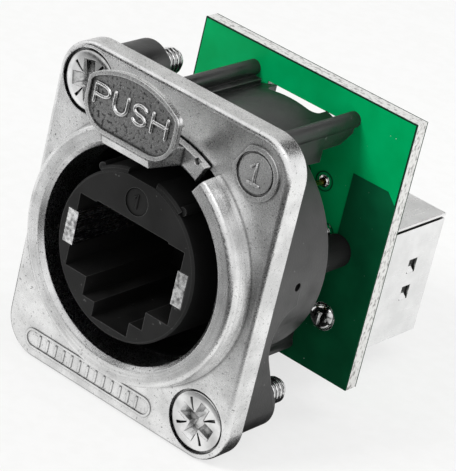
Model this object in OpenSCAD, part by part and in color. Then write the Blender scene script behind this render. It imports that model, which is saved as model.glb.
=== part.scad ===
// Panel mount network socket with a latching ring, a feed-through board and a shielded rear jack.
// The plug axis is Y: the front faces -Y, the panel plane is Y = 0, and +Z is up.

/* [Panel flange] */
// Width of the flange across the panel
flange_w = 26; // [25.5:0.5:28]
// Height of the flange up the panel
flange_h = 31; // [30.5:0.5:33]
// Thickness of the flange plate
flange_t = 2.3; // [2.2:0.1:3]
// Corner radius of the flange outline
flange_corner_r = 3.5; // [3.4:0.05:3.8]
// Rounding along the front edge of the flange
flange_edge_r = 0.5; // [0.2:0.1:0.8]
// Radius of the raised round boss in the free upper corner
corner_boss_r = 2.4; // [1.5:0.1:2.6]
// Length of the raised stadium frame along the lower edge
frame_l = 15.2; // [8:0.2:15.6]
// Height of the raised stadium frame
frame_h = 1.9; // [1.2:0.1:2]

/* [Socket ring] */
// Bore of the ring that takes the sleeve of a cable plug
ring_bore_d = 19.5; // [19:0.1:19.8]
// Wall of the ring where it meets the flange
ring_wall = 2.2; // [1.8:0.1:2.4]
// Height of the ring in front of the flange
ring_h = 2.15; // [1.6:0.05:3]
// Amount by which the outside of the ring narrows towards its lip
ring_draft = 0.3; // [0.1:0.1:0.5]
// Rounding of the outer lip of the ring
ring_lip_r = 0.5; // [0.2:0.1:0.7]
// Chamfer on the inner lip of the ring
ring_chamfer = 0.4; // [0.2:0.1:0.6]
// Angle over which the ring is open for the latch
latch_gap_deg = 61; // [58:1:70]
// Radial depth of the latch slot outside the bore of the ring
latch_slot = 1.6; // [1.5:0.05:1.8]

/* [Push latch] */
// Distance from the flange face to the face of the push tab
tab_reach = 5.9; // [5:0.1:8]
// Width of the push tab
tab_w = 10; // [8:0.1:11]
// Height of the push tab
tab_h = 6.05; // [5.5:0.05:7]
// Thickness of the push tab
tab_t = 0.6; // [0.6:0.05:1.2]
// Height of the lower edge of the tab above the plug axis
tab_z = 11.4; // [11:0.1:12]
// Radius of the crowned top edge of the tab
tab_crown_r = 8.6; // [7:0.1:14]
// Rounding of the lower corners of the tab
tab_low_r = 2.5; // [1.5:0.1:2.8]
// Rounding of the upper corners of the tab
tab_top_r = 1; // [0.6:0.1:1.1]
// Width of the raised rim round the tab
tab_rim = 0.35; // [0.2:0.05:0.8]
// Depth of the textured field inside the rim
tab_field = 0.2; // [0.1:0.05:0.4]
// Half width of the neck between tab and pivot
neck_half = 2.6; // [2.2:0.1:3]
// Half angle of the curved arms in the gap of the ring
arm_half_deg = 25.5; // [20:0.5:28]
// Radius of the pivot hub
hub_r = 0.9; // [0.8:0.05:0.95]
// Half width of the pivot hub
hub_half = 2.2; // [1.8:0.1:2.4]
// Diameter of the pivot pin
pin_d = 1; // [0.8:0.05:1]
// Length of the latch tail behind the pivot
tail_l = 6.3; // [5.6:0.1:6.6]
// Half width of the latch tail
tail_half = 1.9; // [1.5:0.1:2]
// Thickness of the latch tail
tail_t = 0.9; // [0.7:0.05:1]
// Depth of the nose below the tail
nose_drop = 0.65; // [0.4:0.05:0.8]
// Half width of the nose
nose_half = 1.4; // [0.8:0.1:1.5]
// Angle that the latch turns when it is pressed
latch_travel = 8; // [4:0.5:9]
// Wire diameter of the latch spring
spring_wire = 0.28; // [0.2:0.02:0.3]

/* [Socket core] */
// Diameter of the core inside the ring
core_d = 15.3; // [15.2:0.1:15.6]
// Height of the raised lands beside the latch notch
core_land = 0.35; // [0.2:0.05:0.4]
// Angle from the middle of the latch notch to the end of a land
land_half_deg = 35; // [30:1:40]
// Chamfer round the face of the core
core_chamfer = 0.2; // [0.1:0.05:0.3]
// Radius of the round rib at the end of each land
land_rib_r = 0.42; // [0.36:0.02:0.5]
// Distance that the core stands in front of the flange face
core_reach = 2.35; // [1.5:0.05:3.5]
// Width of the plug mouth
mouth_w = 12; // [11.8:0.05:12.2]
// Height of the plug mouth above the plug axis
mouth_top = 3.55; // [3.4:0.05:3.8]
// Depth of the plug mouth below the plug axis
mouth_low = 3.6; // [3.4:0.05:3.8]
// Depth of the plug mouth from the face of the core
mouth_depth = 12; // [11:0.1:12.5]
// Width of the contact comb in the ceiling of the mouth
comb_w = 8.3; // [8.2:0.05:9]
// Step between the comb and the rest of the ceiling
comb_step = 0.15; // [0.1:0.05:0.3]
// Width of the upper key step under the mouth
key_w = 7; // [6.6:0.1:7.2]
// Depth of the upper key step
key_h = 1.8; // [1.4:0.1:2]
// Width of the clip slot under the key step
clip_w = 4.1; // [3.6:0.1:4.4]
// Depth of the clip slot
clip_h = 1.4; // [1:0.1:1.5]
// Radius of the round sunk field on the face of the core
field_r = 1.25; // [0.8:0.05:1.3]
// Height of the sunk field above the plug axis
field_z = 5.35; // [5.1:0.05:5.6]
// Diameter of the rear disc that seats in the housing
disc_d = 20.6; // [20.4:0.1:21]
// Thickness of the rear disc
disc_t = 2.5; // [2:0.1:2.8]
// Diameter of the two spacer posts between core and board
post_d = 3.1; // [2:0.1:3.2]
// Distance between the two spacer posts
post_dx = 15.2; // [13.8:0.1:15.4]
// Height of the spacer posts above the plug axis
post_z = -0.7; // [-1.5:0.1:0]

/* [Contacts] */
// Pitch of the eight spring contacts
contact_pitch = 1.016; // [0.95:0.002:1.03]
// Pitch of the pins in the board
pin_pitch = 1.27; // [1.2:0.01:1.3]
// Distance between the two rows of pins
row_gap = 2.54; // [2:0.02:2.7]
// Width of a contact strip
contact_w = 0.4; // [0.3:0.02:0.44]
// Thickness of a contact strip
contact_t = 0.3; // [0.2:0.02:0.34]
// Free length of the bent spring of a contact
contact_reach = 7; // [6:0.1:7.4]
// Depth of the free end of a contact below the ceiling
contact_dip = 2.3; // [1.8:0.1:2.4]
// Height of a contact in the comb above the ceiling
contact_rise = 0.85; // [0.75:0.05:0.9]
// Height of the bend at the front of a contact
contact_bend = 0.6; // [0.5:0.05:0.65]
// Height of the upper pin row of the front contacts above the plug axis
front_row_z = 4.8; // [4.4:0.1:5.2]
// Height of the shield springs
shield_h = 3.2; // [2.4:0.1:3.6]
// Width of the shield spring that shows on the face of the core
shield_face = 1.15; // [0.8:0.05:1.2]
// Thickness of the shield sheet
sheet_t = 0.25; // [0.2:0.01:0.3]

/* [Rear housing] */
// Outer diameter of the barrel
barrel_d = 23; // [22.6:0.1:24]
// Length of the barrel behind the panel plane
barrel_l = 9; // [8.4:0.1:9.4]
// Thickness of the ear plates round the screws
ear_t = 1; // [0.8:0.1:2]
// Diameter of the screw bosses
boss_d = 5; // [4:0.1:5.6]
// Length of the screw bosses
boss_l = 5.7; // [4:0.1:7]
// Width of the arched roof over the latch
roof_w = 8.8; // [8:0.2:9]
// Length of the arched roof in its middle
roof_l = 14.4; // [12:0.1:15.2]
// Width of the cut in the rear edge of the roof
roof_cut = 5.8; // [4:0.1:6.4]
// Thickness of the arched roof
roof_t = 0.6; // [0.5:0.05:0.65]
// Diameter of the blind hole in the side of the barrel
side_hole_d = 0.8; // [0.5:0.1:1]
// Diameter of the four board rods
rod_d = 1.5; // [1.2:0.1:1.8]
// Distance between the upper rods
rod_dx = 11.66; // [11.3:0.02:12.2]
// Height of the upper rods above the plug axis
rod_z = 11.58; // [11.3:0.02:11.8]
// Distance between the lower rods
low_rod_dx = 9.6; // [8:0.1:10.4]
// Depth of the lower rods below the plug axis
low_rod_z = 11.5; // [11.2:0.1:11.6]

/* [Circuit board] */
// Width of the circuit board
board_w = 24.5; // [23:0.5:28]
// Height of the circuit board
board_h = 26.9; // [26.7:0.1:30]
// Thickness of the circuit board
board_t = 1.6; // [1:0.1:2]
// Height of the middle of the board above the plug axis
board_z = 0.45; // [0.35:0.05:0.8]
// Distance from the panel plane to the front of the board
board_y = 16.3; // [15.8:0.1:18]
// Width of the window in the board
window_w = 8; // [5:0.2:9]
// Height of the window in the board
window_h = 2.6; // [2:0.1:4.4]
// Height of the upper edge of the window above the plug axis
window_z = 11; // [10.8:0.05:11.1]

/* [Rear jack] */
// Width of the shielded rear jack
jack_w = 16; // [15.8:0.1:16.6]
// Height of the shielded rear jack
jack_h = 12.6; // [12.4:0.1:13.4]
// Length of the shielded rear jack behind the board
jack_l = 15.1; // [14:0.1:18]
// Depth of the middle of the jack below the plug axis
jack_z = 6.9; // [6.7:0.1:7.2]
// Distance from the ceiling of its mouth to the top of the jack
jack_ceiling = 2; // [1.95:0.05:2.1]
// Depth of the clip slot of the rear jack
jack_clip_h = 0.6; // [0.4:0.1:0.9]
// Distance from the upper pin row of the rear contacts to the top of the jack
jack_row_drop = 1.5; // [1.4:0.1:1.8]

/* [Screws] */
// Thread diameter of the flange screws
thread_d = 2.5; // [2:0.1:2.6]
// Diameter of the plain shank between head and thread
shank_d = 2.1; // [1.8:0.05:2.15]
// Head diameter of the flange screws
head_d = 5.4; // [4.6:0.1:5.4]
// Depth of the screw head below the flange face
head_sink = 0.1; // [0.05:0.05:0.4]
// Length of the screws behind the panel plane
screw_l = 9.2; // [8.5:0.1:12]

/* [Clearances] */
// Clearance between pieces that slide into each other
fit_gap = 0.05; // [0.02:0.01:0.08]
// Clearance round the moving latch
latch_gap = 0.13; // [0.1:0.01:0.2]
// Clearance round the screw head in its recess
head_gap = 0.25; // [0.15:0.05:0.35]

/* [Hidden] */
$fn = 64;
contact_count = 8;
contact_names = [for (side = ["front", "rear"], i = [1:contact_count]) str(side, "_contact_", i)];

zinc = "#b9b9bb";
black_plastic = "#1d1d1f";
gold = "#c9a24a";
tin = "#d9dadc";
laminate = "#0c8a4c";
steel = "#a9acb0";

// Overlap that fuses two forms of one piece, and the extra length of a cut
bite = 0.2;

// Ring and flange planes
face_y = -flange_t;
ring_y = face_y - ring_h;
bore_r = ring_bore_d / 2;
ring_r = bore_r + ring_wall;
slot_r = bore_r + latch_slot;
corner_at = [flange_w / 2 - flange_corner_r, flange_h / 2 - flange_corner_r];
screw_at = [-corner_at[0], corner_at[1]];
raise_h = 0.2;
raise_w = 0.22;
frame_at = [-2.9, -flange_h / 2 + flange_edge_r + 1.45];

// Screw, head recess and the cone that carries the head
thread_r = thread_d / 2;
thread_y = boss_l + fit_gap;
shank_r = shank_d / 2;
head_r = head_d / 2;
recess_r = head_r + head_gap;
hole_r = thread_r + 0.15;
cone_h = head_r - thread_r;
cone_y = face_y + head_sink + 0.15;
groove_depth = 0.3;
recess_wing = 0.42;
recess_depth = 1.3;
tip_h = 0.5;

// Latch pivot, tail and roof
pin_r = pin_d / 2;
pin_z = sqrt(slot_r * slot_r - hub_half * hub_half) - hub_r - latch_gap;
pin_y = -flange_t / 2 + 0.05;
pin_half = pin_z * tan(latch_gap_deg / 2) + 0.9;
tab_y = face_y - tab_reach;
tab_back_y = tab_y + tab_t;
tail_top = pin_z - 0.6;
tail_y = pin_y + tail_l;
nose_y = tail_y - 1.9;
tail_rise = tail_l * sin(latch_travel);
roof_low = tail_top + tail_rise + 2 * latch_gap;
channel_half = neck_half + latch_gap;
roof_in_r = norm([hub_half, roof_low]);
roof_r = roof_in_r + roof_t;
roof_deg = 2 * asin((roof_w / 2 + bite) / roof_in_r);
arm_front_y = face_y - 1;
arm_back_y = face_y - 0.2;
arm_in_r = bore_r + 0.1;
arm_out_r = slot_r + 0.4;
arm_chamfer = 0.35;
dent_r = 0.3;
dent_depth = 0.35;
dent_at = (arm_out_r - 0.15) * [sin(21), cos(21)];
coil_half = 1;
coil_r = pin_r + fit_gap + spring_wire / 2;
coil_turns = 4;
coil_end_deg = 60;

// Core, mouth and contacts
core_r = core_d / 2;
land_r = core_r + core_land;
rib_at = (land_r - 0.05) * [sin(land_half_deg), cos(land_half_deg)];
core_y = face_y - core_reach;
mouth_y = core_y + mouth_depth;
disc_y = barrel_l - disc_t;
disc_r = disc_d / 2;
contact_z = mouth_top + contact_rise;
comb_depth = contact_rise + contact_t / 2 + 0.2;
contact_front = 2;
jog_l = 1.4;
pin_tail = 0.7;
contact_slot = contact_w + 2 * fit_gap;
board_back_y = board_y + board_t;
pin_end_y = board_back_y + pin_tail;
tip_r = 0.5;
solder_h = 0.6;
shield_x = mouth_w / 2 - sheet_t;
shield_pin_z = 0.3;
shield_pin_h = 0.6;
notch_half = nose_half + 0.2;
notch_z = land_r - 0.65;
field_depth = 0.12;

// Housing
barrel_r = barrel_d / 2;
disc_seat_r = disc_r + fit_gap;
rod_r = rod_d / 2;
rod_at = [rod_dx / 2, rod_z];
low_rod_at = [low_rod_dx / 2, -low_rod_z];
roof_end_y = board_y - fit_gap;
ear_r = boss_d / 2 + 0.4;
web_t = 1.2;
web_low = 2.95;
web_hollow_r = 3.5;
web_z = 5;
low_web_h = 2;
notch_r = 0.9;
wall_in = roof_w / 2;
side_hole_at = [5.2, 0.3];
wall_out = rod_at[0] + 0.55;

// Rear jack
jack_y = board_back_y;
jack_end_y = jack_y + jack_l;
jack_mid = -jack_z;
jack_top = jack_mid + jack_h / 2;
jack_mouth_z = jack_top - jack_ceiling - mouth_top;
jack_ceiling_z = jack_top - jack_ceiling;
jack_row_z = jack_top - jack_row_drop;
jack_leg_z = jack_mid - 0.5;
jack_leg_w = 1.2;

// Distance along the pins of contact i from the middle of the row
function contact_x(i) = (i - (contact_count + 1) / 2) * contact_pitch;
function pin_x(i) = (i - (contact_count + 1) / 2) * pin_pitch;
function pin_row(i, top) = top - (i % 2) * row_gap;

// Closed outline of a strip of thickness t along the points of a flat path
function unit(v) = v / norm(v);
function left_of(v) = [-v[1], v[0]];
function segment_side(path, i) = left_of(unit(path[i + 1] - path[i]));
function miter(path, i) =
    let (
        last = len(path) - 1,
        before = segment_side(path, max(i - 1, 0)),
        after = segment_side(path, min(i, last - 1)),
        sum = before + after
    ) 2 * sum / (sum * sum);
function strip_outline(path, t) = concat(
    [for (i = [0:len(path) - 1]) path[i] + miter(path, i) * t / 2],
    [for (i = [len(path) - 1:-1:0]) path[i] - miter(path, i) * t / 2]);

// Corners of the two straight edges that join the circle R at the centre to the circle r at p
function tangent_quad(p, big_r, small_r) =
    let (
        heading = atan2(p[1], p[0]),
        spread = acos((big_r - small_r) / norm(p)),
        up = [cos(heading + spread), sin(heading + spread)],
        down = [cos(heading - spread), sin(heading - spread)]
    ) [big_r * up, p + small_r * up, p + small_r * down, big_r * down];

// Extrude a front view from y0 to y1
module along_y(y0, y1) {
    translate([0, y1, 0]) rotate([90, 0, 0]) linear_extrude(y1 - y0) children();
}

// Extrude a side view, drawn as Y and Z, symmetrically across X
module across_x(half) {
    rotate([90, 0, 90]) translate([0, 0, -half]) linear_extrude(2 * half) children();
}

// Turn a profile, drawn as radius and Y, about the plug axis
module about_y(deg = 360) {
    rotate([-90, 0, 0]) rotate([0, 0, -90 - deg / 2]) rotate_extrude(angle = deg) children();
}

module rod_y(at, r, y0, y1) {
    translate([at[0], y0, at[1]]) rotate([-90, 0, 0]) cylinder(r = r, h = y1 - y0);
}

module box(low, high) {
    translate(low) cube(high - low);
}

module both_screws() {
    for (side = [-1, 1]) translate([-side * screw_at[0], 0, -side * screw_at[1]]) children();
}

// Wedge of the front view that is centred on the top
module top_wedge(deg, reach) {
    polygon([[0, 0], reach * [sin(deg / 2), cos(deg / 2)], reach * [-sin(deg / 2), cos(deg / 2)]]);
}

// Section of the flange plate: square at the back and rounded at the front edge
module plate_section(half) {
    translate([-half, -flange_t + flange_edge_r]) square([2 * half, flange_t - flange_edge_r]);
    translate([-half + flange_edge_r, -flange_t]) square([2 * (half - flange_edge_r), flange_t]);
    for (side = [-1, 1])
        translate([side * (half - flange_edge_r), -flange_t + flange_edge_r]) circle(flange_edge_r);
}

module plate_corner() {
    rotate([-90, 0, 0]) rotate_extrude() intersection() {
        plate_section(flange_corner_r);
        translate([0, -flange_t]) square([flange_corner_r, flange_t]);
    }
}

module flange_plate() {
    straight_x = flange_w / 2 - flange_corner_r;
    straight_z = flange_h / 2 - flange_corner_r;
    translate([0, 0, -straight_z]) linear_extrude(2 * straight_z) plate_section(flange_w / 2);
    rotate([0, 90, 0]) translate([0, 0, -straight_x])
        linear_extrude(2 * straight_x) plate_section(flange_h / 2);
    for (sx = [-1, 1], sz = [-1, 1]) translate([sx * straight_x, 0, sz * straight_z]) plate_corner();
}

module ring_profile() {
    lip_r = ring_r - ring_draft;
    polygon([
        [bore_r, face_y + bite], [bore_r, ring_y + ring_chamfer], [bore_r + ring_chamfer, ring_y],
        [lip_r - ring_lip_r, ring_y], [lip_r, ring_y + ring_lip_r],
        [ring_r, face_y], [ring_r, face_y + bite]]);
    translate([lip_r - ring_lip_r, ring_y + ring_lip_r]) circle(ring_lip_r);
}

module stadium(length, height) {
    square([length - height, height], center = true);
    for (side = [-1, 1]) translate([side * (length - height) / 2, 0]) circle(height / 2);
}

module raised_frame() {
    along_y(face_y - raise_h / 2, face_y + bite) translate(frame_at) difference() {
        stadium(frame_l, frame_h);
        stadium(frame_l - 2 * raise_w, frame_h - 2 * raise_w);
    }
}

module raised_boss() {
    along_y(face_y - raise_h, face_y + bite) translate(corner_at) difference() {
        circle(corner_boss_r);
        circle(corner_boss_r - 2 * raise_w);
    }
    along_y(face_y - raise_h / 2, face_y + bite) translate(corner_at) circle(corner_boss_r - 3 * raise_w);
}

// Recess for the screw head, the cone under it and the clearance hole
module screw_recess() {
    rod_y([0, 0], recess_r, face_y - bite, cone_y + groove_depth);
    translate([0, cone_y - bite, 0]) rotate([-90, 0, 0])
        cylinder(r1 = head_r + bite, r2 = thread_r, h = cone_h + bite);
    rod_y([0, 0], hole_r, face_y, bite);
}

module front_flange() color(zinc) difference() {
    union() {
        flange_plate();
        about_y() ring_profile();
        raised_frame();
        raised_boss();
    }
    rod_y([0, 0], bore_r, ring_y - bite, bite);
    both_screws() screw_recess();
    // Gap of the ring and the slot of the latch behind it
    along_y(ring_y - bite, face_y) top_wedge(latch_gap_deg, 2 * ring_r);
    along_y(face_y - bite, bite) intersection() {
        circle(slot_r);
        top_wedge(latch_gap_deg, 2 * ring_r);
    }
    // Open seats of the pivot pin in the rear face
    rotate([0, 90, 0]) translate([-pin_z, pin_y, -pin_half]) cylinder(r = pin_r, h = 2 * pin_half);
    box([-pin_half, pin_y, pin_z - pin_r], [pin_half, bite, pin_z + pin_r]);
}

// Outline of the push tab, drawn in by inset
module tab_outline(inset) {
    half = tab_w / 2;
    crown_z = tab_z + tab_h - tab_crown_r;
    low_z = tab_z + tab_low_r;
    top_x = half - tab_top_r;
    reach = tab_crown_r - tab_top_r;
    top_z = crown_z + sqrt(reach * reach - top_x * top_x);
    ray = [top_x, top_z - crown_z];
    foot = ray * (low_z - crown_z) / ray[1];
    intersection() {
        translate([0, crown_z]) circle(tab_crown_r - inset);
        translate([0, crown_z]) polygon([[-foot[0], foot[1]], foot, 2 * ray, 2 * [-ray[0], ray[1]]]);
    }
    for (side = [-1, 1]) {
        translate([side * top_x, top_z]) circle(tab_top_r - inset);
        translate([side * (half - tab_low_r), low_z]) circle(tab_low_r - inset);
    }
    translate([-half + inset, low_z]) square([tab_w - 2 * inset, top_z - low_z]);
    translate([-half + tab_low_r, tab_z + inset]) square([tab_w - 2 * tab_low_r, tab_low_r - inset]);
}

module push_tab() {
    difference() {
        along_y(tab_y, tab_back_y) tab_outline(0);
        along_y(tab_y - bite, tab_y + tab_field) tab_outline(tab_rim);
    }
}

// Neck from the chamfered lower edge of the tab back to the hub
module latch_neck() {
    back_y = arm_back_y + 0.15;
    across_x(neck_half) polygon([
        [tab_y + 0.12, tab_z], [tab_y + 0.55, tab_z - 1],
        [back_y, pin_z - 0.5], [back_y, pin_z + hub_r - 0.2],
        [arm_front_y, pin_z + 1.3], [tab_back_y - bite, tab_z + 0.9], [tab_y + 0.32, tab_z + 0.5]]);
}

module latch_arms() {
    about_y(2 * arm_half_deg) polygon([
        [arm_in_r + arm_chamfer, arm_front_y], [arm_out_r, arm_front_y], [arm_out_r, arm_back_y],
        [arm_in_r, arm_back_y], [arm_in_r, arm_front_y + arm_chamfer]]);
}

module latch_tail() {
    low = tail_top - tail_t;
    across_x(tail_half) polygon([
        [pin_y, low], [pin_y, pin_z], [pin_y + 1, pin_z], [pin_y + 2, tail_top],
        [tail_y, tail_top], [tail_y, low]]);
    across_x(nose_half) polygon([
        [nose_y, low + bite], [nose_y, low], [tail_y - 0.9, low - nose_drop], [tail_y, low - nose_drop],
        [tail_y, low + bite]]);
    across_x(hub_half) translate([pin_y, pin_z]) circle(hub_r);
    across_x(hub_half) polygon([
        [arm_front_y, pin_z - 0.5], [pin_y, pin_z - hub_r],
        [pin_y, pin_z + hub_r], [arm_front_y, pin_z + 0.9]]);
}

module push_latch() color(zinc) difference() {
    union() {
        push_tab();
        latch_neck();
        latch_arms();
        latch_tail();
    }
    // Bore of the pivot pin and the room for the spring between the two cheeks of the hub
    across_x(hub_half + bite) translate([pin_y, pin_z]) circle(pin_r + fit_gap);
    across_x(coil_half) translate([pin_y, pin_z]) circle(hub_r + fit_gap);
    box([-coil_half, pin_y, tail_top], [coil_half, pin_y + 2.4, pin_z + hub_r + bite]);
    // Round dent at the outer edge of each arm
    for (side = [-1, 1])
        rod_y([side * dent_at[0], dent_at[1]], dent_r, arm_front_y - bite, arm_front_y + dent_depth);
}

module latch_pin() color(steel) {
    translate([0, pin_y, pin_z]) rotate([0, 90, 0]) cylinder(r = pin_r, h = 2 * pin_half, center = true);
}

// Torsion spring: one leg on the flange, turns round the pin and one leg on the latch tail
function coil_point(deg, x) = [x, pin_y + coil_r * cos(deg), pin_z + coil_r * sin(deg)];
spring_steps = 16;
coil_sweep = 360 * coil_turns - coil_end_deg;
coil_span = 1.2;
leg_slope = [0, sin(coil_end_deg), -cos(coil_end_deg)];
leg_start = coil_point(coil_end_deg, coil_span / 2);
leg_l = (leg_start[2] - tail_top - spring_wire / 2 - fit_gap) / cos(coil_end_deg);
spring_path = concat(
    [coil_point(0, -coil_span / 2) + [0, 0, slot_r - pin_z - 0.2]],
    [for (i = [0:coil_turns * spring_steps])
        let (share = i / (coil_turns * spring_steps))
        coil_point(-share * coil_sweep, (share - 0.5) * coil_span)],
    [leg_start + leg_l * leg_slope]);

module wire_sweep(path, r, sides) {
    last = len(path) - 1;
    heading = [for (i = [0:last]) unit(path[min(i + 1, last)] - path[max(i - 1, 0)])];
    out = [for (t = heading) unit(cross(t, [1, 0, 0]))];
    rings = [for (i = [0:last], k = [0:sides - 1])
        path[i] + r * (cos(360 * k / sides) * out[i] + sin(360 * k / sides) * cross(heading[i], out[i]))];
    walls = [for (i = [0:last - 1], k = [0:sides - 1])
        let (a = i * sides, next = (k + 1) % sides)
        [a + k, a + sides + k, a + sides + next, a + next]];
    caps = [[for (k = [0:sides - 1]) k], [for (k = [sides - 1:-1:0]) last * sides + k]];
    polyhedron(rings, concat(walls, caps));
}

module latch_spring() color(steel) wire_sweep(spring_path, spring_wire / 2, 8);

// Front view of a plug mouth: the plug, its key step and its clip slot
module mouth_outline(middle, clip) {
    low = middle - mouth_low;
    translate([-mouth_w / 2, low]) square([mouth_w, mouth_top + mouth_low - comb_step]);
    translate([-comb_w / 2, low]) square([comb_w, mouth_top + mouth_low]);
    translate([-key_w / 2, low - key_h]) square([key_w, key_h + bite]);
    translate([-clip_w / 2, low - key_h - clip]) square([clip_w, clip + bite]);
}

module socket_core() color(black_plastic) difference() {
    union() {
        about_y() polygon([
            [0, core_y], [core_r - core_chamfer, core_y], [core_r, core_y + core_chamfer], [core_r, disc_y],
            [disc_r, disc_y], [disc_r, barrel_l], [0, barrel_l]]);
        about_y(2 * land_half_deg) polygon([
            [core_r - 1, core_y + 0.1], [land_r - core_chamfer, core_y + 0.1],
            [land_r, core_y + 0.1 + core_chamfer], [land_r, disc_y + bite], [core_r - 1, disc_y + bite]]);
        for (side = [-1, 1])
            rod_y([side * rib_at[0], rib_at[1]], land_rib_r, core_y + core_chamfer + 0.2, disc_y + bite);
        for (side = [-1, 1]) {
            rod_y([side * post_dx / 2, post_z], post_d / 2, barrel_l - bite, board_y);
            rod_y([side * post_dx / 2, post_z], tip_r, board_y - bite, board_back_y);
        }
    }
    along_y(core_y - bite, mouth_y) mouth_outline(0, clip_h);
    rod_y([0, field_z], field_r, core_y - bite, core_y + field_depth);
    // Notch under the nose of the latch
    box([-notch_half, core_y - bite, notch_z], [notch_half, disc_y, land_r + bite]);
    // Comb of contact slots in the ceiling and their way through the back wall
    for (i = [1:contact_count]) {
        x = contact_x(i);
        box([x - contact_slot / 2, core_y + contact_front - 0.6, mouth_top - bite],
            [x + contact_slot / 2, mouth_y, mouth_top + comb_depth]);
        box([x - contact_w / 2, mouth_y - bite, contact_z - contact_t / 2],
            [x + contact_w / 2, barrel_l + bite, contact_z + contact_t / 2]);
    }
    // Seats of the shield springs in the side walls
    for (side = [-1, 1]) mirror([side < 0 ? 1 : 0, 0, 0]) {
        box([shield_x - fit_gap, core_y - bite, -shield_h / 2 - fit_gap],
            [shield_x + shield_face + fit_gap, core_y + sheet_t, shield_h / 2 + fit_gap]);
        box([shield_x + shield_face - sheet_t - fit_gap, core_y, -shield_h / 2 - fit_gap],
            [shield_x + shield_face + fit_gap, core_y + 3, shield_h / 2 + fit_gap]);
        box([shield_x, mouth_y - bite, shield_pin_z - shield_pin_h / 2],
            [shield_x + sheet_t, barrel_l + bite, shield_pin_z + shield_pin_h / 2]);
    }
}

module shield_spring() {
    half = shield_h / 2;
    box([shield_x, core_y, -half], [shield_x + shield_face, core_y + sheet_t, half]);
    box([shield_x + shield_face - sheet_t, core_y, -half], [shield_x + shield_face, core_y + 2.9, half]);
    box([shield_x, core_y, -half], [shield_x + sheet_t, mouth_y - 1, half]);
    box([shield_x, mouth_y - 1 - bite, shield_pin_z - shield_pin_h / 2],
        [shield_x + sheet_t, pin_end_y, shield_pin_z + shield_pin_h / 2]);
}

module shield_spring_left() color(tin) mirror([1, 0, 0]) shield_spring();

module shield_spring_right() color(tin) shield_spring();

// Side view of a contact: the bent spring under the line z, which runs from the bend towards back
function contact_spring(bend_y, z, back) = [
    [bend_y + back * contact_reach, z - contact_rise - contact_dip], [bend_y, z - contact_bend],
    [bend_y - back * contact_bend / 2, z - contact_bend / 2], [bend_y, z]];

// Contact strip: the spring in a side view, then the jog and the pin in a top view
module contact_strip(i, spring, jog_y, end_y, row_z) {
    x = contact_x(i);
    way = jog_y < end_y ? 1 : -1;
    translate([x, 0, 0]) across_x(contact_w / 2) polygon(strip_outline(spring, contact_t));
    translate([0, 0, row_z - contact_t / 2]) linear_extrude(contact_t) polygon([
        for (p = strip_outline(
            [[jog_y - way * contact_w, -x], [jog_y, -x],
                [jog_y + way * jog_l, -pin_x(i)], [end_y, -pin_x(i)]],
            contact_w))
            [-p[1], p[0]]]);
}

module front_contact(i) color(gold) {
    row = pin_row(i, front_row_z);
    out_y = barrel_l + contact_bend;
    jog_y = out_y + jog_l + contact_bend;
    contact_strip(i,
        concat(contact_spring(core_y + contact_front, contact_z, 1),
            [[out_y, contact_z], [out_y + jog_l, row], [jog_y, row]]),
        jog_y, pin_end_y, row);
}

module rear_contact(i) color(gold) {
    row = pin_row(i, jack_row_z);
    line = jack_ceiling_z + contact_rise;
    turn_y = jack_end_y - mouth_depth - fit_gap;
    jog_y = turn_y - contact_bend - contact_w;
    contact_strip(i,
        concat(contact_spring(jack_end_y - sheet_t - contact_front, line, -1),
            [[turn_y, line], [turn_y - contact_bend, row], [jog_y, row]]),
        jog_y, board_y - pin_tail, row);
}

// Hollow of an ear's web, with a slope up to the end of the boss
module web_hollow(boss_z) {
    middle = [web_low + web_hollow_r, web_z];
    slope = tangent_quad([boss_l, boss_z] - middle, web_hollow_r, 0);
    rotate([90, 0, 90]) linear_extrude(4 * barrel_r, center = true) translate(middle) {
        circle(web_hollow_r);
        polygon([slope[0], slope[1], slope[3]]);
    }
}

// Ear plate and boss round one screw, and the hollowed web on the outer side between barrel and boss
module screw_ear(at) {
    boss_r = boss_d / 2;
    outer = tangent_quad(at, barrel_r, boss_r);
    inner = tangent_quad(at, barrel_r - web_t, boss_r - web_t);
    along_y(0, ear_t) {
        translate(at) circle(ear_r);
        polygon(tangent_quad(at, barrel_r, ear_r));
    }
    difference() {
        along_y(0, boss_l) polygon([outer[0], outer[1], inner[1], inner[0]]);
        mirror([0, 0, at[1] < 0 ? 1 : 0]) web_hollow(abs(at[1]));
    }
    rod_y(at, boss_r, 0, boss_l);
}

// Wall under an upper rod, with a sloped end towards the board
module roof_wall() {
    top = rod_z - 0.45;
    end_y = board_y - 0.5;
    rotate([90, 0, 90]) translate([0, 0, wall_in]) linear_extrude(wall_out - wall_in) polygon([
        [0, rod_z - 2.4], [barrel_l + 2.7, rod_z - 3], [barrel_l + 2.7, rod_z - 1.8],
        [end_y - 1.6, rod_z - 1.8], [end_y, rod_z - 1], [end_y, top], [0, top]]);
}

// Cut in the rear edge of the roof, with round inner corners
module roof_notch() {
    half = roof_cut / 2;
    translate([0, 0, roof_low - 1]) linear_extrude(3) {
        translate([-half, roof_l + notch_r]) square([roof_cut, board_y - roof_l]);
        translate([notch_r - half, roof_l]) square([roof_cut - 2 * notch_r, board_y - roof_l]);
        for (side = [-1, 1]) translate([side * (half - notch_r), roof_l + notch_r]) circle(notch_r);
    }
}

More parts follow.
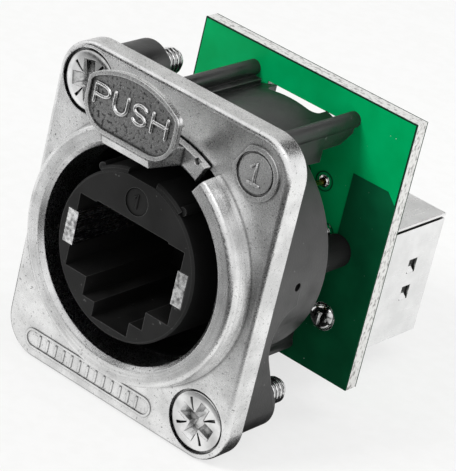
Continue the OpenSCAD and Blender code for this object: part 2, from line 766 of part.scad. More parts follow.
module rear_housing() color(black_plastic) difference() {
    union() {
        rod_y([0, 0], barrel_r, 0, barrel_l);
        screw_ear(screw_at);
        screw_ear(-screw_at);
        about_y(roof_deg) polygon([
            [roof_in_r, 0], [roof_r, 0], [roof_r, roof_end_y], [roof_in_r, roof_end_y]]);
        for (side = [-1, 1]) mirror([side < 0 ? 1 : 0, 0, 0]) {
            roof_wall();
            rod_y(rod_at, rod_r, 0, board_y);
            rod_y(rod_at, tip_r, board_y - bite, board_back_y + 0.5);
            rod_y(low_rod_at, rod_r, 0, board_y);
            rod_y(low_rod_at, tip_r, board_y - bite, board_back_y + 0.5);
            box([low_rod_at[0] - 0.5, 0, -low_rod_z], [low_rod_at[0] + 0.5, barrel_l, -barrel_r + 1.6]);
            box([low_rod_at[0] - 0.5, barrel_l - bite, -low_rod_z],
                [low_rod_at[0] + 0.6, roof_end_y, low_web_h - low_rod_z]);
        }
    }
    // Bore for the plug sleeve, the seat of the core, and the channel of the latch
    rod_y([0, 0], bore_r, -bite, disc_y);
    rod_y([0, 0], disc_seat_r, disc_y, board_y);
    along_y(-bite, disc_y) intersection() {
        circle(roof_in_r);
        translate([-channel_half, 0]) square([2 * channel_half, barrel_r]);
    }
    roof_notch();
    translate([barrel_r, side_hole_at[0], side_hole_at[1]])
        rotate([0, 90, 0]) cylinder(d = side_hole_d, h = 1, center = true);
    both_screws() rod_y([0, 0], thread_r, -bite, boss_l + bite);
}

// Cross recess of a screw head, narrowing with depth
module cross_recess() {
    intersection() {
        for (turn = [20, 110]) rotate([0, turn, 0])
            box([-recess_wing, face_y, -head_r], [recess_wing, cone_y + recess_depth, head_r]);
        translate([0, face_y + head_sink - bite, 0]) rotate([-90, 0, 0])
            cylinder(r1 = head_r * 0.7, r2 = recess_wing, h = recess_depth + bite);
    }
}

module flange_screws() color(steel) both_screws() difference() {
    union() {
        rod_y([0, 0], head_r, face_y + head_sink, cone_y);
        translate([0, cone_y, 0]) rotate([-90, 0, 0])
            cylinder(r1 = head_r, r2 = shank_r, h = head_r - shank_r);
        rod_y([0, 0], shank_r, cone_y, thread_y + bite);
        rod_y([0, 0], thread_r, thread_y, screw_l - tip_h);
        translate([0, screw_l - tip_h, 0]) rotate([-90, 0, 0])
            cylinder(r1 = thread_r, r2 = thread_r - 0.8 * tip_h, h = tip_h);
    }
    cross_recess();
}

// Places of the pins in the board as [x, z]
front_pins = [for (i = [1:contact_count]) [pin_x(i), pin_row(i, front_row_z)]];
rear_pins = [for (i = [1:contact_count]) [pin_x(i), pin_row(i, jack_row_z)]];
shield_pins = [for (side = [-1, 1]) [side * (shield_x + sheet_t / 2), shield_pin_z]];
jack_legs = [for (side = [-1, 1]) [side * (jack_w / 2 - sheet_t / 2), jack_leg_z]];
rod_tips = [for (side = [-1, 1], at = [rod_at, low_rod_at]) [side * at[0], at[1]]];
post_tips = [for (side = [-1, 1]) [side * post_dx / 2, post_z]];
pin_hole_r = 0.4;
leg_hole_r = jack_leg_w / 2 + 0.1;

module circuit_board() color(laminate) difference() {
    along_y(board_y, board_back_y) translate([0, board_z]) square([board_w, board_h], center = true);
    along_y(board_y - bite, board_back_y + bite) {
        translate([-window_w / 2, window_z - window_h]) square([window_w, window_h]);
        for (at = concat(front_pins, rear_pins, shield_pins)) translate(at) circle(pin_hole_r);
        for (at = jack_legs) translate(at) circle(leg_hole_r);
        for (at = concat(rod_tips, post_tips)) translate(at) circle(tip_r + fit_gap);
    }
}

// Solder cone on the board round a pin of the given section
module solder_cone(at, r, size, y, up) {
    difference() {
        translate([at[0], y, at[1]]) rotate([up > 0 ? -90 : 90, 0, 0])
            cylinder(r1 = r, r2 = r * 0.55, h = solder_h);
        translate([at[0], y, at[1]]) cube([size[0], 4 * solder_h, size[1]], center = true);
    }
}

module front_solder() color(tin) {
    for (at = rear_pins) solder_cone(at, 0.58, [contact_w, contact_t], board_y, -1);
    for (at = jack_legs) solder_cone(at, 1.25, [sheet_t, jack_leg_w], board_y, -1);
}

module rear_solder() color(tin) {
    for (at = front_pins) solder_cone(at, 0.58, [contact_w, contact_t], board_back_y, 1);
    for (at = shield_pins) solder_cone(at, 0.58, [sheet_t, shield_pin_h], board_back_y, 1);
}

flap_l = 1.3;
flap_h = 1.5;
flap_y = jack_end_y - 3.6;
flap_drops = [4.8, 7.7];
seam_h = 0.3;

module rear_jack_shield() color(tin) difference() {
    union() {
        along_y(jack_y, jack_end_y) translate([0, jack_mid]) difference() {
            square([jack_w, jack_h], center = true);
            square([jack_w - 2 * sheet_t, jack_h - 2 * sheet_t], center = true);
        }
        along_y(jack_end_y - sheet_t, jack_end_y) difference() {
            translate([0, jack_mid]) square([jack_w - sheet_t, jack_h - sheet_t], center = true);
            mouth_outline(jack_mouth_z, jack_clip_h);
        }
        for (at = jack_legs)
            box([at[0] - sheet_t / 2, board_y - 0.9, at[1] - jack_leg_w / 2],
                [at[0] + sheet_t / 2, jack_y + bite, at[1] + jack_leg_w / 2]);
    }
    // Open seams of the folds under the top sheet
    for (side = [-1, 1])
        translate([side * jack_w / 2, jack_y + jack_l / 2, jack_top - sheet_t - seam_h / 2])
            cube([2.4 * sheet_t, jack_l + 2 * bite, seam_h], center = true);
    // Windows of the spring flaps in both sides
    for (drop = flap_drops)
        translate([0, flap_y, jack_top - drop]) cube([2 * jack_w, flap_l, flap_h], center = true);
}

module rear_jack_housing() color(black_plastic) difference() {
    along_y(jack_y, jack_end_y - sheet_t) translate([0, jack_mid])
        square([jack_w - 2 * (sheet_t + fit_gap), jack_h - 2 * (sheet_t + fit_gap)], center = true);
    along_y(jack_end_y - mouth_depth, jack_end_y) mouth_outline(jack_mouth_z, jack_clip_h);
    for (i = [1:contact_count]) {
        x = contact_x(i);
        box([x - contact_slot / 2, jack_end_y - mouth_depth - bite, jack_ceiling_z - bite],
            [x + contact_slot / 2, jack_end_y - sheet_t - contact_front + 0.6, jack_ceiling_z + comb_depth]);
    }
    // Open chamber for the pins between the mouth and the board
    box([-mouth_w / 2, jack_y - bite, jack_row_z - row_gap - 0.6],
        [mouth_w / 2, jack_end_y - mouth_depth, jack_ceiling_z + comb_depth]);
}

front_flange();
push_latch();
latch_pin();
latch_spring();
socket_core();
shield_spring_left();
shield_spring_right();
rear_housing();
flange_screws();
circuit_board();
rear_jack_shield();
rear_jack_housing();
front_solder();
rear_solder();
for (i = [1:contact_count]) front_contact(i);
for (i = [1:contact_count]) rear_contact(i);
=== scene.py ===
"""Looks of a panel mount network socket: finishes, fine pieces, light and camera round its solids."""

import logging
import math
from dataclasses import dataclass
from enum import Enum
from typing import Any, Callable, ClassVar, Mapping, Optional, Sequence

import bmesh
import bpy
from mathutils import Matrix, Vector


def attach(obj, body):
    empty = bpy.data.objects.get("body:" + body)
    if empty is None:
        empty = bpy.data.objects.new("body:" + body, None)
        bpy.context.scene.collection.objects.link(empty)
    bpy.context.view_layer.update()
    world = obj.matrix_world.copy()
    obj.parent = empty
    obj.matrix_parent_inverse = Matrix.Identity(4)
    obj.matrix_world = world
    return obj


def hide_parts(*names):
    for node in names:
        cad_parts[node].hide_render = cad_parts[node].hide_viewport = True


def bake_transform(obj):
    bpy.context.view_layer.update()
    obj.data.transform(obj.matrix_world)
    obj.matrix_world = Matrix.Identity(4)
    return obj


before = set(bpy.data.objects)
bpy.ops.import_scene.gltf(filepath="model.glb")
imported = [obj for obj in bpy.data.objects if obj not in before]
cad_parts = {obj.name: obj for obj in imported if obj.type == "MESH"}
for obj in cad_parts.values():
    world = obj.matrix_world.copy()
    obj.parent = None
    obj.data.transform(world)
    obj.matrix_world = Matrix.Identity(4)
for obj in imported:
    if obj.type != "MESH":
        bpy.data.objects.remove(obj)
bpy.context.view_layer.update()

log = logging.getLogger("network_socket")
MM = 0.001
FULL_TURN = 2.0 * math.pi
WHITE = (1.0, 1.0, 1.0, 1.0)
# Corners of a square, as signs.
SQUARE = ((-1, -1), (1, -1), (1, 1), (-1, 1))
# Heights of a grain between which the gloss of its surface changes.
GRAIN_ENDS = {"From Min": 0.3, "From Max": 0.7}

Colour = tuple[float, float, float, float]
Flat = tuple[float, float]
Point = tuple[float, float, float]
Tree = bpy.types.NodeTree
Socket = bpy.types.NodeSocket


class Body(Enum):
    """Bodies of the frame that a piece can ride on."""

    SOCKET = "socket"
    LATCH = "latch"


class Slot(Enum):
    """Material slots of the record."""

    CASTING = "nickel_casting"
    STEEL = "steel"
    SCREW = "screw_steel"
    CORE = "core_plastic"
    SHEET = "tinned_sheet"
    LAMINATE = "laminate"
    SOLDER = "solder"


def linear(hex_colour: str) -> Colour:
    """Turns an sRGB hex value into a linear colour.

    Args:
        hex_colour: The colour as #rrggbb.

    Returns:
        The linear colour with full alpha.
    """
    parts = [int(hex_colour[i:i + 2], 16) / 255.0 for i in (1, 3, 5)]
    curve = [c / 12.92 if c <= 0.04045 else ((c + 0.055) / 1.055) ** 2.4 for c in parts]
    return (curve[0], curve[1], curve[2], 1.0)


def per_mm(size: float) -> float:
    """Gives the texture scale, on coordinates in metres, of a pattern with one feature per size in mm."""
    return 1.0 / (size * MM)


def add_node(
    tree: Tree,
    kind: str,
    inputs: Optional[Mapping[Any, Any]] = None,
    ramp: Sequence[tuple[float, str]] = (),
    **settings: Any,
) -> bpy.types.Node:
    """Adds a shader node with its settings and links.

    Args:
        tree: The node tree that gets the node.
        kind: The node's type without the ShaderNode prefix.
        inputs: Socket name or number to a value, or to an output socket to link.
        ramp: Stops of a colour ramp, as position and hex colour.
        settings: Properties of the node itself.

    Returns:
        The new node.
    """
    node = tree.nodes.new("ShaderNode" + kind)
    for name, value in settings.items():
        setattr(node, name, value)
    for key, value in (inputs or {}).items():
        if isinstance(value, Socket):
            tree.links.new(value, node.inputs[key])
        else:
            node.inputs[key].default_value = value
    for index, (position, colour) in enumerate(ramp):
        stops = node.color_ramp.elements
        stop = stops[index] if index < len(stops) else stops.new(position)
        stop.position = position
        stop.color = linear(colour)
    return node


def seen_share(tree: Tree) -> Socket:
    """Gives 1 where the camera sees a surface, straight, in a mirror or through glass, and 0 elsewhere.

    Args:
        tree: The node tree that gets the nodes.

    Returns:
        The share.
    """
    path = add_node(tree, "LightPath").outputs
    share = path["Is Camera Ray"]
    for ray in ("Is Glossy Ray", "Is Transmission Ray"):
        share = add_node(tree, "Math", {0: share, 1: path[ray]}, operation="MAXIMUM").outputs[0]
    return share


@dataclass(frozen=True)
class Finish:
    """A surface finish that becomes one material.

    Attributes:
        name: What the surface is made of and how it was made.
    """

    name: str

    def material(self) -> bpy.types.Material:
        """Makes the material of the finish, or finds it if it was made before.

        Returns:
            The material.
        """
        found = bpy.data.materials.get(self.name)
        if found is not None:
            return found
        made = bpy.data.materials.new(self.name)
        made.use_nodes = True
        tree = made.node_tree
        tree.nodes.clear()
        place = add_node(tree, "TexCoord").outputs["Object"]
        shader = add_node(tree, "BsdfPrincipled", self.lay(tree, place))
        add_node(tree, "OutputMaterial", {"Surface": self.surface(tree, shader.outputs["BSDF"])})
        return made

    def lay(self, tree: Tree, place: Socket) -> dict[str, Any]:
        """Lays the pattern of the finish.

        Args:
            tree: The material's node tree.
            place: Object coordinates.

        Returns:
            What the inputs of the Principled shader get, by name.
        """
        raise NotImplementedError

    def surface(self, tree: Tree, shaded: Socket) -> Socket:
        """Gives the surface of the material, which is the shaded one if nothing is mixed in."""
        return shaded

    def mottle(
        self, tree: Tree, place: Socket, size_mm: float, detail: float, ends: Flat, *colours: str
    ) -> tuple[Socket, Socket]:
        """Mottles a surface in soft clouds of two colours.

        Args:
            tree: The material's node tree.
            place: Object coordinates.
            size_mm: Size of a cloud.
            detail: How broken its border is.
            ends: Heights of the clouds at which each colour is full.
            colours: Both colours.

        Returns:
            The height of the clouds, and the colour.
        """
        clouds = add_node(tree, "TexNoise", {"Vector": place, "Scale": per_mm(size_mm), "Detail": detail})
        tone = add_node(tree, "ValToRGB", {"Fac": clouds.outputs["Fac"]}, tuple(zip(ends, colours)))
        return clouds.outputs["Fac"], tone.outputs["Color"]

    def speckle(
        self, tree: Tree, place: Socket, size_mm: float, detail: float, ends: Flat, under: Socket,
        colour: str,
    ) -> tuple[Socket, Socket]:
        """Strews specks of a colour over another.

        Args:
            tree: The material's node tree.
            place: Object coordinates.
            size_mm: Distance of the specks.
            detail: How broken their border is.
            ends: Heights at which a speck begins, and at which it is full.
            under: The colour that gets the specks.
            colour: The colour of the specks.

        Returns:
            The share of the specks, and the colour with them.
        """
        fine = add_node(tree, "TexNoise", {"Vector": place, "Scale": per_mm(size_mm), "Detail": detail})
        share = add_node(
            tree, "MapRange", {"Value": fine.outputs["Fac"], "From Min": ends[0], "From Max": ends[1]})
        both = add_node(tree, "Mix", {0: share.outputs[0], 6: under, 7: linear(colour)}, data_type="RGBA")
        return share.outputs[0], both.outputs[2]

    def lines(self, tree: Tree, place: Socket, sizes_mm: Point) -> Socket:
        """Draws a grain out to lines.

        Args:
            tree: The material's node tree.
            place: Object coordinates.
            sizes_mm: Size of the lines along X, Y and Z.

        Returns:
            The height of the lines.
        """
        scales = tuple(per_mm(size) for size in sizes_mm)
        stretch = add_node(tree, "VectorMath", {0: place, 1: scales}, operation="MULTIPLY")
        drawn = add_node(tree, "TexNoise", {"Vector": stretch.outputs[0], "Scale": 1.0, "Detail": 3.0})
        return drawn.outputs["Fac"]

    def openness(self, tree: Tree, reach_mm: float, ends: Flat) -> Socket:
        """Gives 0 in a hollow and 1 where the surface is open; the finishes paint shade by it.

        Args:
            tree: The material's node tree.
            reach_mm: How far in mm a neighbour shades.
            ends: Open share of the sky that gives 0, and the one that gives 1.

        Returns:
            The share.
        """
        sky = add_node(tree, "AmbientOcclusion", {"Distance": reach_mm * MM}, samples=8)
        share = add_node(
            tree, "MapRange", {"Value": sky.outputs["AO"], "From Min": ends[0], "From Max": ends[1]})
        return share.outputs[0]

    def dress(self, piece: bpy.types.Object) -> None:
        """Gives a piece this finish alone."""
        piece.data.materials.clear()
        piece.data.materials.append(self.material())


@dataclass(frozen=True)
class GrainedMetal(Finish):
    """Metal with a fine grain, painted shade in its grooves, and smooth edges.

    Attributes:
        groove_shade_reach: Open share of the sky at which the painted shade in a groove is darkest, and at
            which it ends.
    """

    bright: str = "#f4f4f4"
    dull: str = "#e8e8e8"
    # Colour of the painted shade in the grooves.
    groove_shade: str = "#4a4a4a"
    groove_shade_mm: float = 0.3
    groove_shade_reach: Flat = (0.25, 0.75)
    edge_mm: float = 0.06
    relief_mm: float = 0.006
    relief_strength: float = 0.5
    roughness: Flat = (0.2, 0.34)

    def metal(self, tree: Tree, colour: Socket, grain: Socket, height: Socket) -> dict[str, Any]:
        """Gives the metal painted shade in its grooves, and its gloss, relief and edges.

        Args:
            tree: The material's node tree.
            colour: Its colour outside the grooves.
            grain: The grain that changes its gloss.
            height: Its relief.

        Returns:
            What the inputs of the Principled shader get, by name.
        """
        # Painted shade: the metal darkens towards the shade colour where little sky is open.
        unshaded = self.openness(tree, self.groove_shade_mm, self.groove_shade_reach)
        final = add_node(tree, "Mix", {0: unshaded, 6: linear(self.groove_shade), 7: colour}, data_type="RGBA")
        low, high = self.roughness
        rough = add_node(tree, "MapRange", {"Value": grain, **GRAIN_ENDS, "To Min": low, "To Max": high})
        edge = add_node(tree, "Bevel", {"Radius": self.edge_mm * MM}, samples=6)
        bump = add_node(
            tree, "Bump",
            {"Height": height, "Distance": self.relief_mm * MM, "Strength": self.relief_strength,
             "Normal": edge.outputs[0]})
        return {"Metallic": 1.0, "Base Color": final.outputs[2], "Roughness": rough.outputs[0],
                "Normal": bump.outputs[0]}


@dataclass(frozen=True)
class NickelPlatedCasting(GrainedMetal):
    """Zinc die casting, tumbled and nickel plated.

    Tumbling leaves soft clouds and a fine peppering of pits in a satin grey metal, with smooth edges, and
    the grooves get painted shade as dark lines. The ring was turned clean, so streaks run round it. A
    stippled plane stands for a field that the die left rough.

    Attributes:
        streak_y: Place in mm in front of which the metal was turned.
        stipple_y: Place in mm of the stippled plane that faces the front, or None.
        stipple_t: How far in mm a point may lie off that plane.
        stipple_raise: Height of a dab of the stipple, as a share of the relief.
    """

    bright: str = "#efefef"
    dull: str = "#d6d6d6"
    pepper: str = "#8a8a8a"
    # Colour of the painted shade in the grooves.
    groove_shade: str = "#262626"
    cloud_mm: float = 2.4
    cloud_range: Flat = (0.38, 0.62)
    pepper_mm: float = 0.22
    pepper_range: Flat = (0.62, 0.74)
    grain_mm: float = 0.12
    groove_shade_mm: float = 0.35
    groove_shade_reach: Flat = (0.4, 0.92)
    edge_mm: float = 0.12
    relief_mm: float = 0.02
    roughness: Flat = (0.22, 0.36)
    streak_y: float = -2.6
    streak_mm: float = 0.3
    streak_range: Flat = (0.45, 0.75)
    streak_share: float = 0.35
    stipple_y: Optional[float] = None
    stipple_t: float = 0.04
    stipple_mm: float = 0.32
    stipple_range: Flat = (0.36, 0.5)
    stipple_low: str = "#4e4e4e"
    stipple_high: str = "#a6a6a6"
    stipple_raise: float = 4.0

    def lay(self, tree: Tree, place: Socket) -> dict[str, Any]:
        """Lays clouds, pits, streaks and grain into the metal."""
        tone = self.mottle(tree, place, self.cloud_mm, 4.0, self.cloud_range, self.dull, self.bright)[1]
        pits, pitted = self.speckle(tree, place, self.pepper_mm, 3.0, self.pepper_range, tone, self.pepper)
        shade = add_node(
            tree, "Mix", {0: self.streaks(tree, place), 6: pitted, 7: linear(self.pepper)},
            data_type="RGBA").outputs[2]
        fine = add_node(tree, "TexNoise", {"Vector": place, "Scale": per_mm(self.grain_mm), "Detail": 2.0})
        grain = fine.outputs["Fac"]
        relief = add_node(tree, "Math", {0: pits, 1: -1.0, 2: grain}, operation="MULTIPLY_ADD").outputs[0]
        if self.stipple_y is not None:
            relief, shade = self.stipple(tree, place, relief, shade)
        return self.metal(tree, shade, grain, relief)

    def streaks(self, tree: Tree, place: Socket) -> Socket:
        """Gives the share of the streaks that turning left round the ring.

        Args:
            tree: The material's node tree.
            place: Object coordinates.

        Returns:
            The share, 0 away from the ring.
        """
        x, y, z = add_node(tree, "SeparateXYZ", {0: place}).outputs
        flat = add_node(tree, "CombineXYZ", {0: x, 1: z})
        radius = add_node(tree, "VectorMath", {0: flat.outputs[0]}, operation="LENGTH")
        angle = add_node(tree, "Math", {0: z, 1: x}, operation="ARCTAN2")
        turned = add_node(tree, "Math", {0: angle.outputs[0], 1: self.streak_mm * MM}, operation="MULTIPLY")
        along = add_node(tree, "CombineXYZ", {0: radius.outputs["Value"], 1: y, 2: turned.outputs[0]})
        drawn = add_node(
            tree, "TexNoise", {"Vector": along.outputs[0], "Scale": per_mm(self.streak_mm), "Detail": 3.0})
        low, high = self.streak_range
        strength = add_node(
            tree, "MapRange",
            {"Value": drawn.outputs["Fac"], "From Min": low, "From Max": high, "To Max": self.streak_share})
        on_ring = add_node(tree, "Math", {0: y, 1: self.streak_y * MM}, operation="LESS_THAN")
        share = add_node(tree, "Math", {0: strength.outputs[0], 1: on_ring.outputs[0]}, operation="MULTIPLY")
        return share.outputs[0]

    def stipple(self, tree: Tree, place: Socket, relief: Socket, shade: Socket) -> tuple[Socket, Socket]:
        """Adds the rough field that the die left in the front of the tab.

        Args:
            tree: The material's node tree.
            place: Object coordinates.
            relief: Height of the metal outside the field.
            shade: Colour of the metal outside the field.

        Returns:
            Height and colour with the field laid in.
        """
        y = add_node(tree, "SeparateXYZ", {0: place}).outputs["Y"]
        on_plane = add_node(
            tree, "Math", {0: y, 1: self.stipple_y * MM, 2: self.stipple_t * MM}, operation="COMPARE")
        rough = add_node(
            tree, "TexNoise", {"Vector": place, "Scale": per_mm(self.stipple_mm), "Detail": 3.0})
        low, high = self.stipple_range
        dabs = add_node(
            tree, "MapRange", {"Value": rough.outputs["Fac"], "From Min": low, "From Max": high}).outputs[0]
        dark = add_node(tree, "ValToRGB", {"Fac": dabs}, ((0.0, self.stipple_low), (1.0, self.stipple_high)))
        colour = add_node(
            tree, "Mix", {0: on_plane.outputs[0], 6: shade, 7: dark.outputs["Color"]}, data_type="RGBA")
        raised = add_node(tree, "Math", {0: dabs, 1: self.stipple_raise}, operation="MULTIPLY")
        height = add_node(tree, "Mix", {0: on_plane.outputs[0], 2: relief, 3: raised.outputs[0]})
        return height.outputs[0], colour.outputs[2]


@dataclass(frozen=True)
class MouldedNylon(Finish):
    """Black glass-filled nylon, injection moulded in a spark-eroded tool.

    The tool leaves an even fine grain that breaks up the highlights. Handling leaves pale specks and rubs
    the edges pale. Hollows and seams get painted shade and stay dull.

    Attributes:
        hollow_shade_mm: Reach in mm of the painted shade in a hollow.
        hollow_shade_reach: Open share of the sky at which the painted shade in a hollow is darkest, and at
            which it ends.
        seam_shade_mm: Reach in mm of the painted shade in a seam, or None if the seams get none.
        rub_range: Cosine of the bend of an edge at which the rubbing begins, and at which it is full.
    """

    colour: str = "#0c0c0c"
    bloom: str = "#161616"
    speck: str = "#6a6a6a"
    rubbed: str = "#5c5c5c"
    # Colour of the painted shade in hollows and seams.
    hollow: str = "#020202"
    hollow_shade_mm: float = 0.3
    hollow_shade_reach: Flat = (0.4, 0.85)
    seam_shade_mm: Optional[float] = None
    seam_shade_reach: Flat = (0.6, 0.92)
    gloss: float = 0.4
    ior: float = 1.53
    spark_mm: float = 0.16
    bloom_mm: float = 2.6
    bloom_range: Flat = (0.35, 0.7)
    speck_mm: float = 0.5
    speck_range: Flat = (0.7, 0.76)
    edge_mm: float = 0.12
    rub_range: Flat = (0.97, 0.8)
    rub_share: float = 0.8
    relief_mm: float = 0.012
    relief_strength: float = 0.6
    roughness: Flat = (0.38, 0.52)

    def lay(self, tree: Tree, place: Socket) -> dict[str, Any]:
        """Lays bloom, specks, painted shade in hollows and seams, rubbed edges and grain into the plastic.
        """
        bloom, tone = self.mottle(tree, place, self.bloom_mm, 4.0, self.bloom_range, self.colour, self.bloom)
        specked = self.speckle(tree, place, self.speck_mm, 5.0, self.speck_range, tone, self.speck)[1]
        unshaded = self.openness(tree, self.hollow_shade_mm, self.hollow_shade_reach)
        if self.seam_shade_mm is not None:
            seam = self.openness(tree, self.seam_shade_mm, self.seam_shade_reach)
            unshaded = add_node(tree, "Math", {0: unshaded, 1: seam}, operation="MULTIPLY").outputs[0]
        # Painted shade: hollows and seams darken towards the shade colour.
        shaded = add_node(tree, "Mix", {0: unshaded, 6: linear(self.hollow), 7: specked}, data_type="RGBA")
        edge = add_node(tree, "Bevel", {"Radius": self.edge_mm * MM}, samples=6).outputs[0]
        plain = add_node(tree, "NewGeometry").outputs["Normal"]
        bend = add_node(tree, "VectorMath", {0: edge, 1: plain}, operation="DOT_PRODUCT").outputs["Value"]
        low, high = self.rub_range
        rub = add_node(
            tree, "MapRange", {"Value": bend, "From Min": low, "From Max": high, "To Max": self.rub_share})
        open_rub = add_node(tree, "Math", {0: rub.outputs[0], 1: unshaded}, operation="MULTIPLY")
        final = add_node(
            tree, "Mix", {0: open_rub.outputs[0], 6: shaded.outputs[2], 7: linear(self.rubbed)},
            data_type="RGBA")
        low, high = self.roughness
        rough = add_node(tree, "MapRange", {"Value": bloom, **GRAIN_ENDS, "To Min": low, "To Max": high})
        dull = add_node(tree, "Mix", {0: unshaded, 2: 1.0, 3: rough.outputs[0]})
        spark = add_node(tree, "TexNoise", {"Vector": place, "Scale": per_mm(self.spark_mm), "Detail": 2.0})
        bump = add_node(
            tree, "Bump",
            {"Height": spark.outputs["Fac"], "Distance": self.relief_mm * MM,
             "Strength": self.relief_strength, "Normal": edge})
        return {"IOR": self.ior, "Specular IOR Level": self.gloss, "Base Color": final.outputs[2],
                "Roughness": dull.outputs[0], "Normal": bump.outputs[0]}


@dataclass(frozen=True)
class SolderMask(Finish):
    """Green liquid solder mask, cured over copper.

    A thin glossy coat that pools a little unevenly, dark where copper lies under it, with specks of dust.
    Across the lower board the same dark green is painted shade.
    """

    # Dark green of the pour, which across the lower board is painted shade.
    thin: str = "#0c5a38"
    thick: str = "#084a2e"
    dust: str = "#c8d4cc"
    pool_mm: float = 4.0
    pool_range: Flat = (0.35, 0.65)
    dust_mm: float = 0.4
    dust_range: Flat = (0.76, 0.8)
    weave_mm: float = 0.45
    relief_mm: float = 0.012
    relief_strength: float = 0.4
    roughness: float = 0.35
    ior: float = 1.52
    gloss: float = 0.05

    def lay(self, tree: Tree, place: Socket) -> dict[str, Any]:
        """Lays the pooled coat, and the weave that shows through it."""
        weave = add_node(tree, "TexNoise", {"Vector": place, "Scale": per_mm(self.weave_mm), "Detail": 1.0})
        bump = add_node(
            tree, "Bump",
            {"Height": weave.outputs["Fac"], "Distance": self.relief_mm * MM,
             "Strength": self.relief_strength})
        return {"Base Color": self.coat(tree, place), "Roughness": self.roughness, "IOR": self.ior,
                "Specular IOR Level": self.gloss, "Normal": bump.outputs[0]}

    def coat(self, tree: Tree, place: Socket) -> Socket:
        """Gives the colour of the coat.

        Args:
            tree: The material's node tree.
            place: Object coordinates.

        Returns:
            The colour socket.
        """
        tone = self.mottle(tree, place, self.pool_mm, 3.0, self.pool_range, self.thick, self.thin)[1]
        return self.speckle(tree, place, self.dust_mm, 2.0, self.dust_range, tone, self.dust)[1]


@dataclass(frozen=True)
class MaskedLaminate(SolderMask):
    """Glass cloth laminate with solder mask on both faces and sawn edges.

    The bare laminate glows through the mask, so it is a clear green with a dark line along its border. The
    sawn edge shows pale glass layers with a dark line under each mask.

    Attributes:
        layers_mm: Size in mm of the glass layers along X, Y and Z.
        middle: X and Z in mm of the middle of the board.
        half: Half its width and height in mm.
        front_y: Place in mm of the front face.
        back_y: Place in mm of the back face.
        face_share: Share of the normal along Y over which a surface is a face and not an edge.
    """

    thin: str = "#00ae65"
    thick: str = "#009e58"
    glass: str = "#dcdcda"
    resin: str = "#8e8c8b"
    rim: str = "#123324"
    layers_mm: Point = (0.45, 0.3, 0.45)
    layer_range: Flat = (0.3, 0.5)
    rim_mm: float = 0.13
    border_mm: float = 0.13
    middle: Flat = (0.0, 0.45)
    half: Flat = (12.25, 13.45)
    front_y: float = 16.3
    back_y: float = 17.9
    face_share: float = 0.5

    def coat(self, tree: Tree, place: Socket) -> Socket:
        """Gives the mask on the faces and the glass layers on the edges."""
        mask = super().coat(tree, place)
        layers = self.lines(tree, place, self.layers_mm)
        sawn = add_node(
            tree, "ValToRGB", {"Fac": layers}, tuple(zip(self.layer_range, (self.resin, self.glass))))
        x, y, z = add_node(tree, "SeparateXYZ", {0: place}).outputs
        inner = (self.back_y - self.front_y) / 2.0 - self.rim_mm
        at_rim = self.beyond(tree, y, (self.front_y + self.back_y) / 2.0, inner)
        edge = add_node(
            tree, "Mix", {0: at_rim, 6: sawn.outputs["Color"], 7: linear(self.rim)}, data_type="RGBA")
        beside = self.beyond(tree, x, self.middle[0], self.half[0] - self.border_mm)
        above = self.beyond(tree, z, self.middle[1], self.half[1] - self.border_mm)
        border = add_node(tree, "Math", {0: beside, 1: above}, operation="MAXIMUM")
        face = add_node(
            tree, "Mix", {0: border.outputs[0], 6: mask, 7: linear(self.rim)}, data_type="RGBA")
        normal = add_node(tree, "SeparateXYZ", {0: add_node(tree, "TexCoord").outputs["Normal"]})
        facing = add_node(tree, "Math", {0: normal.outputs["Y"]}, operation="ABSOLUTE")
        on_face = add_node(
            tree, "Math", {0: facing.outputs[0], 1: self.face_share}, operation="GREATER_THAN")
        final = add_node(
            tree, "Mix", {0: on_face.outputs[0], 6: edge.outputs[2], 7: face.outputs[2]}, data_type="RGBA")
        return final.outputs[2]

    def beyond(self, tree: Tree, place: Socket, middle: float, reach: float) -> Socket:
        """Gives 1 where a coordinate lies further from a middle than a reach, and 0 elsewhere.

        Args:
            tree: The material's node tree.
            place: The coordinate.
            middle: The middle in mm.
            reach: The reach in mm.

        Returns:
            The share.
        """
        away = add_node(tree, "Math", {0: place, 1: middle * MM}, operation="SUBTRACT")
        out = add_node(tree, "Math", {0: away.outputs[0]}, operation="ABSOLUTE")
        past = add_node(tree, "Math", {0: out.outputs[0], 1: reach * MM}, operation="GREATER_THAN")
        return past.outputs[0]


@dataclass(frozen=True)
class RolledMetal(GrainedMetal):
    """Plated or drawn metal whose surface was made by rolling, drawing or turning.

    Fine lines run along one direction, and handling leaves soft dull clouds.

    Attributes:
        lines_mm: Size in mm of the lines along X, Y and Z, coarser than the real ones so that they show.
    """

    lines_mm: Point = (0.16, 5.0, 0.16)
    cloud_mm: float = 2.5
    cloud_range: Flat = (0.36, 0.6)

    def lay(self, tree: Tree, place: Socket) -> dict[str, Any]:
        """Lays lines and clouds into the metal."""
        drawn = self.lines(tree, place, self.lines_mm)
        tone = self.mottle(tree, place, self.cloud_mm, 4.0, self.cloud_range, self.dull, self.bright)[1]
        return self.metal(tree, tone, drawn, drawn)


